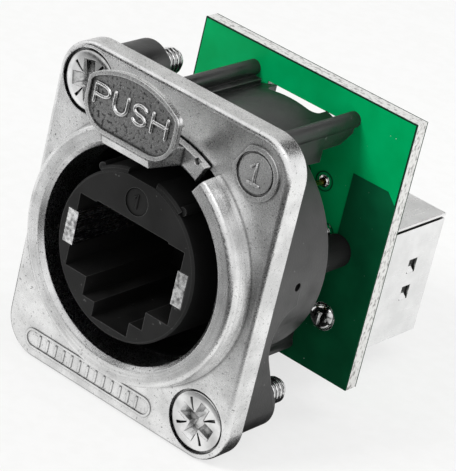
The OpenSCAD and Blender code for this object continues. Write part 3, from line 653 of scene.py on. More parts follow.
@dataclass(frozen=True)
class ReflowedSolder(Finish):
    """Tin solder, melted and set on the board.

    A liquid metal skin with sharp reflections, frosted in patches where it set last.
    """

    bright: str = "#e6e6e6"
    frost: str = "#a2a2a2"
    patch_mm: float = 0.6
    tone_range: Flat = (0.4, 0.65)
    frost_range: Flat = (0.4, 0.7)
    roughness: Flat = (0.04, 0.2)
    ripple_mm: float = 0.35
    relief_mm: float = 0.03
    relief_strength: float = 0.5

    def lay(self, tree: Tree, place: Socket) -> dict[str, Any]:
        """Lays frost and ripples into the metal."""
        patches, tone = self.mottle(
            tree, place, self.patch_mm, 2.0, self.tone_range, self.bright, self.frost)
        ends = zip(("From Min", "From Max", "To Min", "To Max"), self.frost_range + self.roughness)
        rough = add_node(tree, "MapRange", {"Value": patches, **dict(ends)})
        ripples = add_node(tree, "TexNoise", {"Vector": place, "Scale": per_mm(self.ripple_mm)})
        bump = add_node(
            tree, "Bump",
            {"Height": ripples.outputs["Fac"], "Distance": self.relief_mm * MM,
             "Strength": self.relief_strength})
        return {"Metallic": 1.0, "Base Color": tone, "Roughness": rough.outputs[0],
                "Normal": bump.outputs[0]}


@dataclass(frozen=True)
class SeamlessPaper(Finish):
    """Pale seamless studio paper, rolled out under the part.

    Most of what the camera sees of it is plain white, and the rest is lit, so the soft shadow of the part
    stays on it.
    """

    colour: str = "#f4f4f2"
    fibre: str = "#eeeeeb"
    fibre_mm: float = 1.5
    fibre_range: Flat = (0.4, 0.6)
    roughness: float = 0.95
    gloss: float = 0.1
    lift: float = 0.7

    def lay(self, tree: Tree, place: Socket) -> dict[str, Any]:
        """Lays fibres into the paper."""
        tone = self.mottle(tree, place, self.fibre_mm, 3.0, self.fibre_range, self.fibre, self.colour)[1]
        return {"Base Color": tone, "Roughness": self.roughness, "Specular IOR Level": self.gloss}

    def surface(self, tree: Tree, shaded: Socket) -> Socket:
        """Mixes in the plain white where the paper is seen."""
        white = add_node(tree, "Emission", {"Color": WHITE, "Strength": 1.0})
        share = add_node(tree, "Math", {0: seen_share(tree), 1: self.lift}, operation="MULTIPLY")
        both = add_node(tree, "MixShader", {0: share.outputs[0], 1: shaded, 2: white.outputs[0]})
        return both.outputs[0]


@dataclass(frozen=True)
class SprayedCard(Finish):
    """Card sprayed from white to grey, held beside the part so that metal has something darker to show.

    The spray is dull and even.

    Attributes:
        way: Direction in which the grey grows.
        start: Place in mm along that direction where the grey begins.
        end: Place in mm along that direction where it is full.
    """

    white: str = "#f4f4f4"
    grey: str = "#303030"
    way: Point = (0.6, -0.8, 0.0)
    start: float = -4.0
    end: float = 36.0

    def lay(self, tree: Tree, place: Socket) -> dict[str, Any]:
        """Lays the sprayed grey into a dull surface."""
        along = add_node(tree, "VectorMath", {0: place, 1: self.way}, operation="DOT_PRODUCT")
        share = add_node(
            tree, "MapRange",
            {"Value": along.outputs["Value"], "From Min": self.start * MM, "From Max": self.end * MM})
        tone = add_node(
            tree, "ValToRGB", {"Fac": share.outputs[0]}, ((0.0, self.white), (1.0, self.grey)))
        return {"Base Color": tone.outputs["Color"], "Roughness": 1.0}


FLANGE_NICKEL = NickelPlatedCasting("nickel_plated_zinc_tumbled")
LATCH_NICKEL = NickelPlatedCasting(
    "nickel_plated_zinc_stippled", groove_shade_reach=(0.45, 0.9), streak_y=-99.0, stipple_y=-8.0)
LETTER_NICKEL = NickelPlatedCasting(
    "nickel_plated_zinc_raised", bright="#ffffff", dull="#f4f4f4", roughness=(0.14, 0.24), streak_y=-99.0)
# The core's mouth and seams get deep painted shade.
CORE_NYLON = MouldedNylon(
    "black_nylon_core_moulded", colour="#121212", bloom="#1e1e1e", gloss=0.25, hollow_shade_mm=8.0,
    hollow_shade_reach=(0.42, 0.72), seam_shade_mm=0.4, roughness=(0.5, 0.62))
HOUSING_NYLON = MouldedNylon(
    "black_nylon_housing_moulded", bloom="#1e1e1e", gloss=0.8, edge_mm=0.16, relief_mm=0.03,
    roughness=(0.28, 0.6))
JACK_NYLON = MouldedNylon("black_nylon_insulator_moulded", colour="#0a0a0a", bloom="#121212")
BOARD_MASK = MaskedLaminate("solder_mask_on_glass_laminate")
# Dark green over the pour; across the lower board it is painted shade.
POUR_AND_SHADE_MASK = SolderMask("solder_mask_on_copper_and_painted_shade")
# Near-black painted shade in the grooves of the shield.
TIN_SHEET = RolledMetal(
    "tin_plated_steel_sheet_rolled", groove_shade="#0c0c0c", groove_shade_mm=0.5, roughness=(0.26, 0.36))
SHIELD_TIN = RolledMetal("tin_plated_bronze_strip_rolled", bright="#ffffff", dull="#8c8c8c", cloud_mm=0.45)
# Dark painted shade in the cross recess and between the threads.
SCREW_ZINC = RolledMetal(
    "zinc_plated_steel_turned", bright="#eeeeee", dull="#c6c6c6", lines_mm=(0.3, 0.12, 0.3),
    groove_shade="#141414", groove_shade_mm=0.55, roughness=(0.12, 0.22))
SPRING_STEEL = RolledMetal("spring_steel_wire_drawn", bright="#b0b1b3", dull="#8d8e90", groove_shade_mm=0.1)
CONTACT_GOLD = RolledMetal("gold_flashed_bronze_strip", bright="#e0b866", dull="#c39a4b", groove_shade_mm=0.1)
PAD_TIN = RolledMetal(
    "tinned_copper_pad", bright="#f0f0f0", dull="#c8c8c8", groove_shade_mm=0.1, roughness=(0.16, 0.3))
SOLDER = ReflowedSolder("tin_solder_reflowed")
PAPER = SeamlessPaper("white_paper_rolled")
GREY_CARD = SprayedCard("card_sprayed_grey")
BLACK_CARD = SprayedCard("card_sprayed_black", white="#262626", grey="#202020")
PALE_CARD = SprayedCard("card_sprayed_pale", white="#d8d8d8", grey="#d0d0d0")


def turn_angles(count: int) -> list[float]:
    """Gives evenly spaced angles of one turn."""
    return [FULL_TURN * k / count for k in range(count)]


def headings(points: Sequence[Vector]) -> list[Vector]:
    """Gives the direction of a path at each of its points."""
    last = len(points) - 1
    return [(points[min(i + 1, last)] - points[max(i - 1, 0)]).normalized() for i in range(last + 1)]


def arc(centre: Flat, radii: Flat, start_deg: float, end_deg: float, steps: int = 12) -> list[Flat]:
    """Gives points along an arc of an ellipse.

    Args:
        centre: Middle of the ellipse.
        radii: Its two radii.
        start_deg: First angle.
        end_deg: Last angle.
        steps: Number of steps between them.

    Returns:
        The points.
    """
    points = []
    for step in range(steps + 1):
        angle = math.radians(start_deg + (end_deg - start_deg) * step / steps)
        points.append((centre[0] + radii[0] * math.cos(angle), centre[1] + radii[1] * math.sin(angle)))
    return points


def numeral_one(at: Flat, height: float, flag: Flat) -> list[Flat]:
    """Gives the stroke of the number 1.

    Args:
        at: Its middle.
        height: Its height.
        flag: How far the end of its flag lies aside and above the middle, as shares of half the height.

    Returns:
        The stroke.
    """
    x, z = at
    half = height / 2.0
    return [(x - half * flag[0], z + half * flag[1]), (x, z + half), (x, z), (x, z - half)]


class MeshBuilder:
    """Collects the faces of one piece, in millimetres of the frame."""

    def __init__(self) -> None:
        """Starts an empty mesh."""
        self.bm = bmesh.new()

    def face(self, corners: Sequence[Point]) -> None:
        """Adds one face of its own."""
        self.bm.faces.new([self.bm.verts.new(corner) for corner in corners])

    def bridge(self, first: Sequence[Any], second: Sequence[Any]) -> None:
        """Joins two closed rings of vertices, either of which may be a single point.

        Args:
            first: Vertices of the first ring.
            second: Vertices of the second ring.
        """
        for k in range(max(len(first), len(second))):
            corners = []
            for ring, index in ((first, k), (first, k + 1), (second, k + 1), (second, k)):
                corner = ring[index % len(ring)]
                if corner not in corners:
                    corners.append(corner)
            self.bm.faces.new(corners)

    def loft(self, loops: Sequence[Sequence[Point]], closed: bool = False) -> None:
        """Makes a solid through loops of equal length.

        Args:
            loops: The loops in order.
            closed: Whether the last loop joins the first, instead of caps at both ends.
        """
        rings = [[self.bm.verts.new(point) for point in loop] for loop in loops]
        for first, second in zip(rings, rings[1:]):
            self.bridge(first, second)
        if closed:
            self.bridge(rings[-1], rings[0])
            return
        for ring in (rings[0], rings[-1]):
            if len(ring) > 2:
                self.bm.faces.new(ring)

    def lathe(
        self,
        profile: Sequence[Flat],
        centre: Flat,
        segments: int = 32,
        closed: bool = False,
        ripple: Optional[Callable[[float, float], float]] = None,
    ) -> None:
        """Turns a profile about a line along Y.

        Args:
            profile: Radius and Y of each ring, a radius of 0 being a point.
            centre: X and Z of the line.
            segments: Number of vertices in a ring.
            closed: Whether the last ring joins the first.
            ripple: Radius that Y and angle add, or None.
        """
        loops = []
        for radius, y in profile:
            if radius <= 0.0:
                loops.append([(centre[0], y, centre[1])])
                continue
            loop = []
            for angle in turn_angles(segments):
                reach = radius + (ripple(y, angle) if ripple else 0.0)
                loop.append((centre[0] + reach * math.cos(angle), y, centre[1] + reach * math.sin(angle)))
            loops.append(loop)
        self.loft(loops, closed)

    def stroke(self, path: Sequence[Flat], y: float, half_width: float, height: float) -> None:
        """Lays a rounded bead with round ends along a path on a plane that faces the front.

        Args:
            path: X and Z of the middle line.
            y: Place of the plane.
            half_width: Half the width of the bead.
            height: Height of the bead in front of the plane.
        """
        sides, cap_steps = 12, 3
        quarter = [math.pi / 2.0 * step / cap_steps for step in range(1, cap_steps)]
        points = [Vector(point) for point in path]
        loops = []
        for index, (point, along) in enumerate(zip(points, headings(points))):
            rings = [(0.0, 1.0)]
            if index == 0:
                rings = [(-math.sin(a), math.cos(a)) for a in reversed(quarter)] + rings
            if index == len(points) - 1:
                rings = rings + [(math.sin(a), math.cos(a)) for a in quarter]
            for shift, scale in rings:
                middle = point + along * shift * half_width
                loop = []
                for angle in turn_angles(sides):
                    aside = half_width * scale * math.cos(angle)
                    up = height * scale * math.sin(angle)
                    loop.append((middle.x - along.y * aside, y - up, middle.y + along.x * aside))
                loops.append(loop)
        self.loft(loops)

    def wire(self, path: Sequence[Vector], radius: float, sides: int = 12) -> None:
        """Draws a round wire along a path that winds about X.

        Args:
            path: Points of its middle line.
            radius: Half its thickness.
            sides: Number of vertices round it.
        """
        loops = []
        for point, ahead in zip(path, headings(path)):
            out = ahead.cross(Vector((1.0, 0.0, 0.0))).normalized() * radius
            up = ahead.cross(out)
            loops.append([tuple(point + out * math.cos(a) + up * math.sin(a)) for a in turn_angles(sides)])
        self.loft(loops)

    def make(self, name: str, smooth_deg: float = 35.0, scale: float = MM) -> bpy.types.Object:
        """Turns the collected faces into an object.

        Args:
            name: Name of the object.
            smooth_deg: Edges sharper than this stay sharp.
            scale: Size of one unit of the faces in the object.

        Returns:
            The object, linked to the scene.
        """
        bmesh.ops.recalc_face_normals(self.bm, faces=self.bm.faces)
        bmesh.ops.scale(self.bm, vec=(scale, scale, scale), verts=self.bm.verts)
        mesh = bpy.data.meshes.new(name)
        self.bm.to_mesh(mesh)
        self.bm.free()
        mesh.shade_smooth()
        mesh.set_sharp_from_angle(angle=math.radians(smooth_deg))
        made = bpy.data.objects.new(name, mesh)
        bpy.context.scene.collection.objects.link(made)
        return made


@dataclass
class SubAssembly:
    """Pieces of the part that are made and dressed together."""

    body: ClassVar[Body] = Body.SOCKET

    def build(self) -> list[str]:
        """Makes and dresses the pieces.

        Returns:
            The names of the pieces.
        """
        raise NotImplementedError

    def dress(self, finish: Finish, *nodes: str) -> list[str]:
        """Dresses solids of the frame as they are.

        Args:
            finish: The finish that they get.
            nodes: Their names.

        Returns:
            The same names.
        """
        for node in nodes:
            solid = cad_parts[node]
            finish.dress(solid)
            solid.data.shade_smooth()
        return list(nodes)

    def add(self, piece: bpy.types.Object, finish: Finish, slot: Slot, *replaced: str) -> str:
        """Dresses a new piece and sets it on the body.

        Args:
            piece: The piece.
            finish: Its finish.
            slot: The record's slot that the finish belongs to; not used.
            replaced: Solids of the frame that it stands for.

        Returns:
            The piece's name.
        """
        finish.dress(piece)
        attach(piece, self.body.value)
        if replaced:
            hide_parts(*replaced)
        return piece.name


@dataclass
class FrontFlange(SubAssembly):
    """Cast flange with its ring, raised frame and corner boss.

    Attributes:
        mark_flag: How far the flag of the number lies aside and up, as shares of half its height.
        mark_foot: Half the width of its foot, as a share of half its height.
    """

    face_y: float = -2.3
    frame_at: Flat = (-2.9, -13.55)
    tick_count: int = 13
    tick_pitch: float = 0.98
    tick_height: float = 0.95
    tick_half_width: float = 0.14
    tick_raise: float = 0.13
    mark_at: Flat = (9.5, 12.0)
    mark_y: float = -2.4
    mark_height: float = 1.9
    mark_flag: Flat = (0.55, 0.5)
    mark_foot: float = 0.6
    mark_half_width: float = 0.17
    mark_raise: float = 0.15

    def build(self) -> list[str]:
        """Dresses the casting, and lays ticks in its raised frame and a cavity number in its boss."""
        names = self.dress(FLANGE_NICKEL, "front_flange")
        builder = MeshBuilder()
        x, z = self.mark_at
        half = self.mark_height / 2.0
        foot = [(x + side * half * self.mark_foot, z - half) for side in (-1, 1)]
        for path in (numeral_one(self.mark_at, self.mark_height, self.mark_flag), foot):
            builder.stroke(path, self.mark_y, self.mark_half_width, self.mark_raise)
        low = self.frame_at[1] - self.tick_height / 2.0
        for k in range(self.tick_count):
            x = self.frame_at[0] + (k - (self.tick_count - 1) / 2.0) * self.tick_pitch
            path = [(x, low), (x, low + self.tick_height)]
            builder.stroke(path, self.face_y, self.tick_half_width, self.tick_raise)
        return names + [self.add(builder.make("frame_ticks"), FLANGE_NICKEL, Slot.CASTING)]


@dataclass
class PushLatch(SubAssembly):
    """Cast latch with the raised word on its tab."""

    body: ClassVar[Body] = Body.LATCH
    field_y: float = -8.0
    letter_low: float = 13.72
    letter_height: float = 1.68
    letter_half_width: float = 0.18
    letter_raise: float = 0.2
    letter_lefts: tuple[float, ...] = (-4.1, -1.95, 0.22, 2.27)
    letter_widths: tuple[float, ...] = (1.55, 1.42, 1.32, 1.58)

    def letters(self) -> list[list[list[Flat]]]:
        """Gives the strokes of P, U, S and H in a cell one unit wide and high.

        Returns:
            The strokes of each letter.
        """
        bowl = [(0.0, 1.0), (0.5, 1.0), *arc((0.5, 0.71), (0.5, 0.29), 90, -90), (0.0, 0.42)]
        cup = [(0.0, 1.0), *arc((0.5, 0.42), (0.5, 0.42), 180, 360), (1.0, 1.0)]
        snake = arc((0.5, 0.75), (0.5, 0.25), 20, 270) + arc((0.5, 0.25), (0.5, 0.25), 90, -160)[1:]
        left, right = ([(x, 0.0), (x, 1.0)] for x in (0.0, 1.0))
        bar = [(0.0, 0.55), (1.0, 0.55)]
        return [[left, bowl], [cup], [snake], [left, right, bar]]

    def build(self) -> list[str]:
        """Dresses the latch and lays the letters on its field."""
        names = self.dress(LATCH_NICKEL, "push_latch")
        builder = MeshBuilder()
        for strokes, left, width in zip(self.letters(), self.letter_lefts, self.letter_widths):
            for path in strokes:
                placed = [(left + u * width, self.letter_low + v * self.letter_height) for u, v in path]
                builder.stroke(placed, self.field_y, self.letter_half_width, self.letter_raise)
        return names + [self.add(builder.make("push_letters"), LETTER_NICKEL, Slot.CASTING)]


@dataclass
class LatchPivot(SubAssembly):
    """Pivot pin and torsion spring of the latch.

    Attributes:
        pivot: Y and Z of the pin.
        upper_z: Height of the end of the leg that stands on the flange.
        tail_z: Height of the end of the leg that lies on the latch.
    """

    pivot: Flat = (-1.1, 10.1047)
    wire_r: float = 0.14
    coil_r: float = 0.69
    coil_span: float = 1.2
    coil_turns: int = 4
    turn_steps: int = 24
    leg_deg: float = 60.0
    upper_z: float = 11.15
    tail_z: float = 9.6947

    def coil_point(self, deg: float, x: float) -> Vector:
        """Gives a point of the coil at an angle round the pin."""
        angle = math.radians(deg)
        return Vector((x, self.pivot[0] + self.coil_r * math.cos(angle),
                       self.pivot[1] + self.coil_r * math.sin(angle)))

    def spring(self) -> str:
        """Winds the spring, whose turns open along the pin, with one leg on the flange and one on the latch.

        Returns:
            The piece's name.
        """
        half = self.coil_span / 2.0
        steps = self.coil_turns * self.turn_steps
        sweep = 360.0 * self.coil_turns - self.leg_deg
        coil = [self.coil_point(-sweep * k / steps, self.coil_span * k / steps - half)
                for k in range(steps + 1)]
        upper = Vector((coil[0].x, coil[0].y, self.upper_z))
        drop = coil[-1].z - self.tail_z
        lower = coil[-1] + Vector((0.0, drop * math.tan(math.radians(self.leg_deg)), -drop))
        builder = MeshBuilder()
        builder.wire([upper, *coil, lower], self.wire_r)
        piece = builder.make("torsion_spring")
        SPRING_STEEL.dress(piece)
        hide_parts("latch_spring")
        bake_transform(piece)
        return piece.name

    def build(self) -> list[str]:
        """Dresses the pin and winds the spring of drawn steel round it."""
        return self.dress(SPRING_STEEL, "latch_pin") + [self.spring()]


@dataclass
class SocketCore(SubAssembly):
    """Black core with its mouth, shield springs and front contacts."""

    mark_at: Flat = (0.0, 5.35)
    mark_floor_y: float = -4.53
    mark_height: float = 1.2
    mark_flag: Flat = (0.55, 0.45)
    mark_half_width: float = 0.13
    mark_raise: float = 0.1
    contact_count: int = 8

    def build(self) -> list[str]:
        """Dresses core, springs and contacts, and lays a plain cavity number in the sunk field."""
        names = self.dress(CORE_NYLON, "socket_core")
        names += self.dress(SHIELD_TIN, "shield_spring_left", "shield_spring_right")
        names += self.dress(CONTACT_GOLD, *(f"front_contact_{i + 1}" for i in range(self.contact_count)))
        builder = MeshBuilder()
        path = numeral_one(self.mark_at, self.mark_height, self.mark_flag)
        builder.stroke(path, self.mark_floor_y, self.mark_half_width, self.mark_raise)
        return names + [self.add(builder.make("cavity_number"), CORE_NYLON, Slot.CORE)]


@dataclass
class RearHousing(SubAssembly):
    """Black barrel with its ears, roof and board rods."""

    def build(self) -> list[str]:
        """Dresses the moulding."""
        return self.dress(HOUSING_NYLON, "rear_housing")


@dataclass
class FlangeScrews(SubAssembly):
    """Two countersunk screws with cross recess and thread.

    Attributes:
        flat_share: Radius of the domed top as a share of the head's radius.
        root_step: Length over which the shank steps down to the root of the thread.
        end_inset: How far inside the root the inner ring of the flat end lies.
        crest: Slope and cut of the thread's ridge, as shares of half a pitch.
        run_out: Length of the fading end of the thread in pitches.
        wing_from: Where a wing of the recess starts, short of the middle.
        tick_flare: Half width of a tick at both ends of its mouth, as shares of tick_half.
        tick_root: Half width of a tick at both ends of its floor.
    """

    places: tuple[Flat, ...] = ((-9.5, 12.0), (9.5, -12.0))
    turns_deg: tuple[float, ...] = (12.0, 73.0)
    head_r: float = 2.7
    head_y: float = -2.2
    flat_share: float = 0.93
    dome: float = 0.08
    dome_steps: int = 6
    rim_h: float = 0.08
    cone_y: float = -2.05
    shank_r: float = 1.05
    thread_y: float = 5.75
    thread_r: float = 1.25
    root_r: float = 0.98
    root_step: float = 0.02
    pitch: float = 0.5
    pitch_rows: int = 12
    crest: Flat = (1.25, 1.35)
    run_out: float = 0.9
    end_y: float = 9.2
    end_inset: float = 0.25
    wing_half: float = 0.5
    wing_from: float = -0.2
    wing_reach: float = 1.8
    wing_bevel: float = 0.18
    wing_taper: float = 0.72
    recess_depth: float = 1.1
    recess_r: float = 0.78
    recess_tip: float = 0.1
    tick_half: float = 0.2
    tick_from: float = 1.0
    tick_to: float = 2.2
    tick_depth: float = 0.2
    tick_flare: Flat = (0.5, 1.3)
    tick_root: Flat = (0.02, 0.04)
    segments: int = 64
    recess_segments: int = 24

    def thread(self, y: float, angle: float) -> float:
        """Gives the height of the thread over its root.

        Args:
            y: Place along the screw.
            angle: Angle round the screw.

        Returns:
            The height in mm, 0 where there is no thread.
        """
        phase = (y / self.pitch - angle / FULL_TURN) % 1.0
        ridge = max(0.0, 1.0 - abs(2.0 * phase - 1.0) * self.crest[0])
        lead_in = min(1.0, max(0.0, (y - self.thread_y) / self.pitch))
        lead_out = min(1.0, max(0.0, (self.end_y - y) / (self.run_out * self.pitch)))
        return (self.thread_r - self.root_r) * min(1.0, self.crest[1] * ridge) * lead_in * lead_out

    def profile(self) -> list[Flat]:
        """Gives radius and Y of the screw from the middle of its head to its tip.

        Returns:
            The profile.
        """
        shares = [k / self.dome_steps for k in range(self.dome_steps + 1)]
        flat_r = self.head_r * self.flat_share
        top = [(flat_r * share, self.head_y - self.dome * (1.0 - share ** 2)) for share in shares]
        rim = [(self.head_r, self.cone_y - self.rim_h), (self.head_r, self.cone_y)]
        neck = self.cone_y + self.head_r - self.shank_r
        shank = [(self.shank_r, neck), (self.shank_r, self.thread_y - self.root_step)]
        length = self.end_y - self.thread_y
        rows = math.ceil(length / self.pitch * self.pitch_rows)
        body = [(self.root_r, self.thread_y + k * (length / rows)) for k in range(rows + 1)]
        return top + rim + shank + body + [(self.root_r - self.end_inset, self.end_y), (0.0, self.end_y)]

    def cutter(self, at: Flat, turn_deg: float) -> bpy.types.Object:
        """Makes the form of the cross recess and its four ticks.

        Args:
            at: X and Z of the screw.
            turn_deg: Turn of the cross.

        Returns:
            The cutter, in units of 1 mm.
        """
        builder = MeshBuilder()
        front = self.head_y - 3.0 * self.dome
        rim = self.head_y + 0.5 * self.wing_bevel
        floor = self.head_y + self.recess_depth
        half, reach, bevel, taper = self.wing_half, self.wing_reach, self.wing_bevel, self.wing_taper
        wide = half + 2.0 * bevel
        wing = [(front, self.wing_from, reach + 2.0 * bevel, wide, wide),
                (rim, self.wing_from, reach, half, half),
                (floor, self.wing_from, reach * taper, half * taper, half * taper)]
        flare = [self.tick_half * share for share in self.tick_flare]
        tick = [(front, self.tick_from, self.tick_to, *flare),
                (self.head_y + self.tick_depth, self.tick_from, self.tick_to, *self.tick_root)]
        for first_deg, levels in ((0.0, wing), (45.0, tick)):
            for k in range(4):
                angle = math.radians(turn_deg + 90.0 * k + first_deg)
                along = Vector((math.cos(angle), math.sin(angle)))
                aside = Vector((-along.y, along.x))
                loops = []
                for y, low, high, low_half, high_half in levels:
                    corners = [(low, -low_half), (high, -high_half), (high, high_half), (low, low_half)]
                    flat = [Vector(at) + along * u + aside * v for u, v in corners]
                    loops.append([(p.x, y, p.y) for p in flat])
                builder.loft(loops)
        middle = [(0.0, front), (self.recess_r + bevel, front), (self.recess_r, rim),
                  (self.recess_r * taper, floor), (0.0, floor + self.recess_tip)]
        builder.lathe(middle, at, self.recess_segments)
        return builder.make("recess_cutter", scale=1.0)

    def screw(self, at: Flat, turn_deg: float) -> bpy.types.Mesh:
        """Makes one screw.

        Args:
            at: X and Z of the screw.
            turn_deg: Turn of its cross recess.

        Returns:
            Its mesh, in units of 1 mm.
        """
        builder = MeshBuilder()
        builder.lathe(self.profile(), at, self.segments, ripple=self.thread)
        blank = builder.make("screw_blank", scale=1.0)
        cutter = self.cutter(at, turn_deg)
        cut = blank.modifiers.new("recess", "BOOLEAN")
        cut.object = cutter
        cut.solver = "EXACT"
        cut.use_self = True
        mesh = bpy.data.meshes.new_from_object(blank.evaluated_get(bpy.context.evaluated_depsgraph_get()))
        for used in (blank, cutter):
            bpy.data.objects.remove(used)
        return mesh

    def build(self) -> list[str]:
        """Makes both screws as one piece, because they share one solid of the frame."""
        builder = MeshBuilder()
        for at, turn_deg in zip(self.places, self.turns_deg):
            mesh = self.screw(at, turn_deg)
            builder.bm.from_mesh(mesh)
            bpy.data.meshes.remove(mesh)
        return [self.add(builder.make("threaded_screws"), SCREW_ZINC, Slot.SCREW, "flange_screws")]


@dataclass
class CircuitBoard(SubAssembly):
    """Board with its pads, tracks, copper pour with painted shade across its lower part, and solder joints.

    Attributes:
        pin_curve: Powers of the hollow slope of the solder round a pin.
        leg_curve: Powers of the full slope of the solder round a leg of the jack.
        sag_two: Uneven reach of that solder with two lobes, as height and phase.
        sag_three: The same with three lobes.
    """

    front_y: float = 16.3
    back_y: float = 17.9
    pin_count: int = 8
    pin_pitch: float = 1.27
    row_gap: float = 2.54
    front_row_z: float = 4.8
    rear_row_z: float = -2.1
    shield_pins: tuple[Flat, ...] = ((-5.875, 0.3), (5.875, 0.3))
    jack_legs: tuple[Flat, ...] = ((-7.875, -7.4), (7.875, -7.4))
    pad_r: float = 0.58
    hole_r: float = 0.36
    leg_pad_r: float = 1.35
    leg_hole_r: float = 0.72
    line_r: float = 0.84
    line_w: float = 0.13
    pad_t: float = 0.04
    collar_h: float = 0.22
    collar_dip: float = 0.4
    joint_r: float = 0.58
    joint_pin_r: float = 0.26
    joint_h: float = 0.6
    joint_tip: float = 0.12
    joint_sink: float = 0.02
    joint_steps: int = 9
    joint_segments: int = 28
    pin_curve: Flat = (1.0, 1.7)
    leg_joint_r: float = 1.25
    leg_pin_r: float = 0.55
    leg_curve: Flat = (2.0, 0.6)
    sag_two: Flat = (0.07, 0.7)
    sag_three: Flat = (0.05, 1.9)
    pour_t: float = 0.03
    pour_left: float = 7.2
    pour_right: float = 12.25
    pour_top: float = 6.9
    pour_low: float = -13.0
    pour_cut: float = 1.1
    # Height below which the dark patch spans the whole board as painted shade.
    painted_shade_top: float = 0.2
    track_half: float = 0.17
    track_bend: float = 0.6

    def pin_places(self, top_z: float) -> list[Flat]:
        """Gives the places of a double row of pins.

        Args:
            top_z: Height of the upper row.

        Returns:
            X and Z of each pin.
        """
        middle = (self.pin_count + 1) / 2.0
        return [((i - middle) * self.pin_pitch, top_z - (i % 2) * self.row_gap)
                for i in range(1, self.pin_count + 1)]

    def small_pads(self) -> list[Flat]:
        """Gives the places of all pads but those of the jack's legs."""
        return self.pin_places(self.front_row_z) + self.pin_places(self.rear_row_z) + list(self.shield_pins)

    def pads(self) -> str:
        """Lays a tinned ring round each hole on both faces, with a collar of solder up to the pin."""
        builder = MeshBuilder()
        for places, ring_r, hole_r in (
            (self.small_pads(), self.pad_r, self.hole_r), (self.jack_legs, self.leg_pad_r, self.leg_hole_r)
        ):
            rise = [(hole_r, 0.0), (hole_r, self.collar_h),
                    ((hole_r + ring_r) / 2.0, self.collar_dip * self.collar_h),
                    (ring_r, self.pad_t), (ring_r, 0.0)]
            for at in places:
                for y, way in ((self.front_y, -1.0), (self.back_y, 1.0)):
                    builder.lathe([(radius, y + way * up) for radius, up in rise], at, closed=True)
        return self.add(builder.make("board_pads"), PAD_TIN, Slot.SOLDER)

    def pour_and_shade(self) -> str:
        """Lays a dark masked patch, the copper pour beside the housing and painted shade across the lower
        half of the board, and a masked line round each pad.
        """
        left, right, top, low, step = (
            self.pour_left, self.pour_right, self.pour_top, self.pour_low, self.painted_shade_top)
        # Painted shade: below the step the dark patch runs the full width, where the housing shades the
        # board.
        outline = [(-right, low), (right, low), (right, top - self.pour_cut), (right - self.pour_cut, top),
                   (left, top), (left, step), (-right, step)]
        builder = MeshBuilder()
        builder.loft([[(x, y, z) for x, z in outline] for y in (self.front_y - self.pour_t, self.front_y)])
        outer_r = self.line_r + self.line_w
        for at in self.small_pads():
            for y, thick in ((self.front_y, -self.pour_t), (self.back_y, self.pour_t)):
                line = [(self.line_r, y + thick), (outer_r, y + thick), (outer_r, y), (self.line_r, y)]
                builder.lathe(line, at, closed=True)
        return self.add(builder.make("copper_pour_and_painted_shade"), POUR_AND_SHADE_MASK, Slot.LAMINATE)

    def tracks(self) -> str:
        """Lays a masked track from each front pin to its rear pin on the back face."""
        builder = MeshBuilder()
        for start, end in zip(self.pin_places(self.front_row_z), self.pin_places(self.rear_row_z)):
            lane = start[0] + self.pin_pitch * 0.5
            path = [start, (lane, start[1] - self.track_bend), (lane, end[1] + self.track_bend), end]
            builder.stroke(path, self.back_y, self.track_half, self.pour_t)
        return self.add(builder.make("board_tracks"), BOARD_MASK, Slot.LAMINATE)

    def sag(self, y: float, angle: float) -> float:
        """Gives the uneven reach of a solder drop round a leg."""
        return (self.sag_two[0] * math.sin(2.0 * angle + self.sag_two[1])
                + self.sag_three[0] * math.sin(3.0 * angle + self.sag_three[1] + y))

    def joints(self, name: str, small: Sequence[Flat], large: Sequence[Flat], y: float, way: float) -> str:
        """Sets a solder fillet round each pin on one face.

        Args:
            name: Name of the piece, and of the solid that it stands for with its first word.
            small: Places of the pins.
            large: Places of the jack's legs.
            y: Place of the face.
            way: 1 towards the back, -1 towards the front.

        Returns:
            The piece's name.
        """
        builder = MeshBuilder()
        foot_y = y - way * self.joint_sink
        for places, foot_r, pin_r, (hollow, full), sag in (
            (small, self.joint_r, self.joint_pin_r, self.pin_curve, None),
            (large, self.leg_joint_r, self.leg_pin_r, self.leg_curve, self.sag),
        ):
            profile = [(0.0, foot_y), (foot_r, foot_y)]
            for share in (k / self.joint_steps for k in range(self.joint_steps + 1)):
                radius = pin_r + (foot_r - pin_r) * (1.0 - share ** hollow) ** full
                profile.append((radius, y + way * self.joint_h * share))
            profile.append((0.0, y + way * (self.joint_h + self.joint_tip)))
            for at in places:
                builder.lathe(profile, at, self.joint_segments, ripple=sag)
        return self.add(builder.make(name), SOLDER, Slot.SOLDER, name.replace("_joints", "_solder"))

    def build(self) -> list[str]:
        """Dresses the board and lays what is printed and soldered on it."""
        names = self.dress(BOARD_MASK, "circuit_board")
        names += [self.pads(), self.pour_and_shade(), self.tracks()]
        rear_pins = self.pin_places(self.rear_row_z)
        front_pins = self.pin_places(self.front_row_z) + list(self.shield_pins)
        names.append(self.joints("front_joints", rear_pins, self.jack_legs, self.front_y, -1.0))
        names.append(self.joints("rear_joints", front_pins, [], self.back_y, 1.0))
        return names


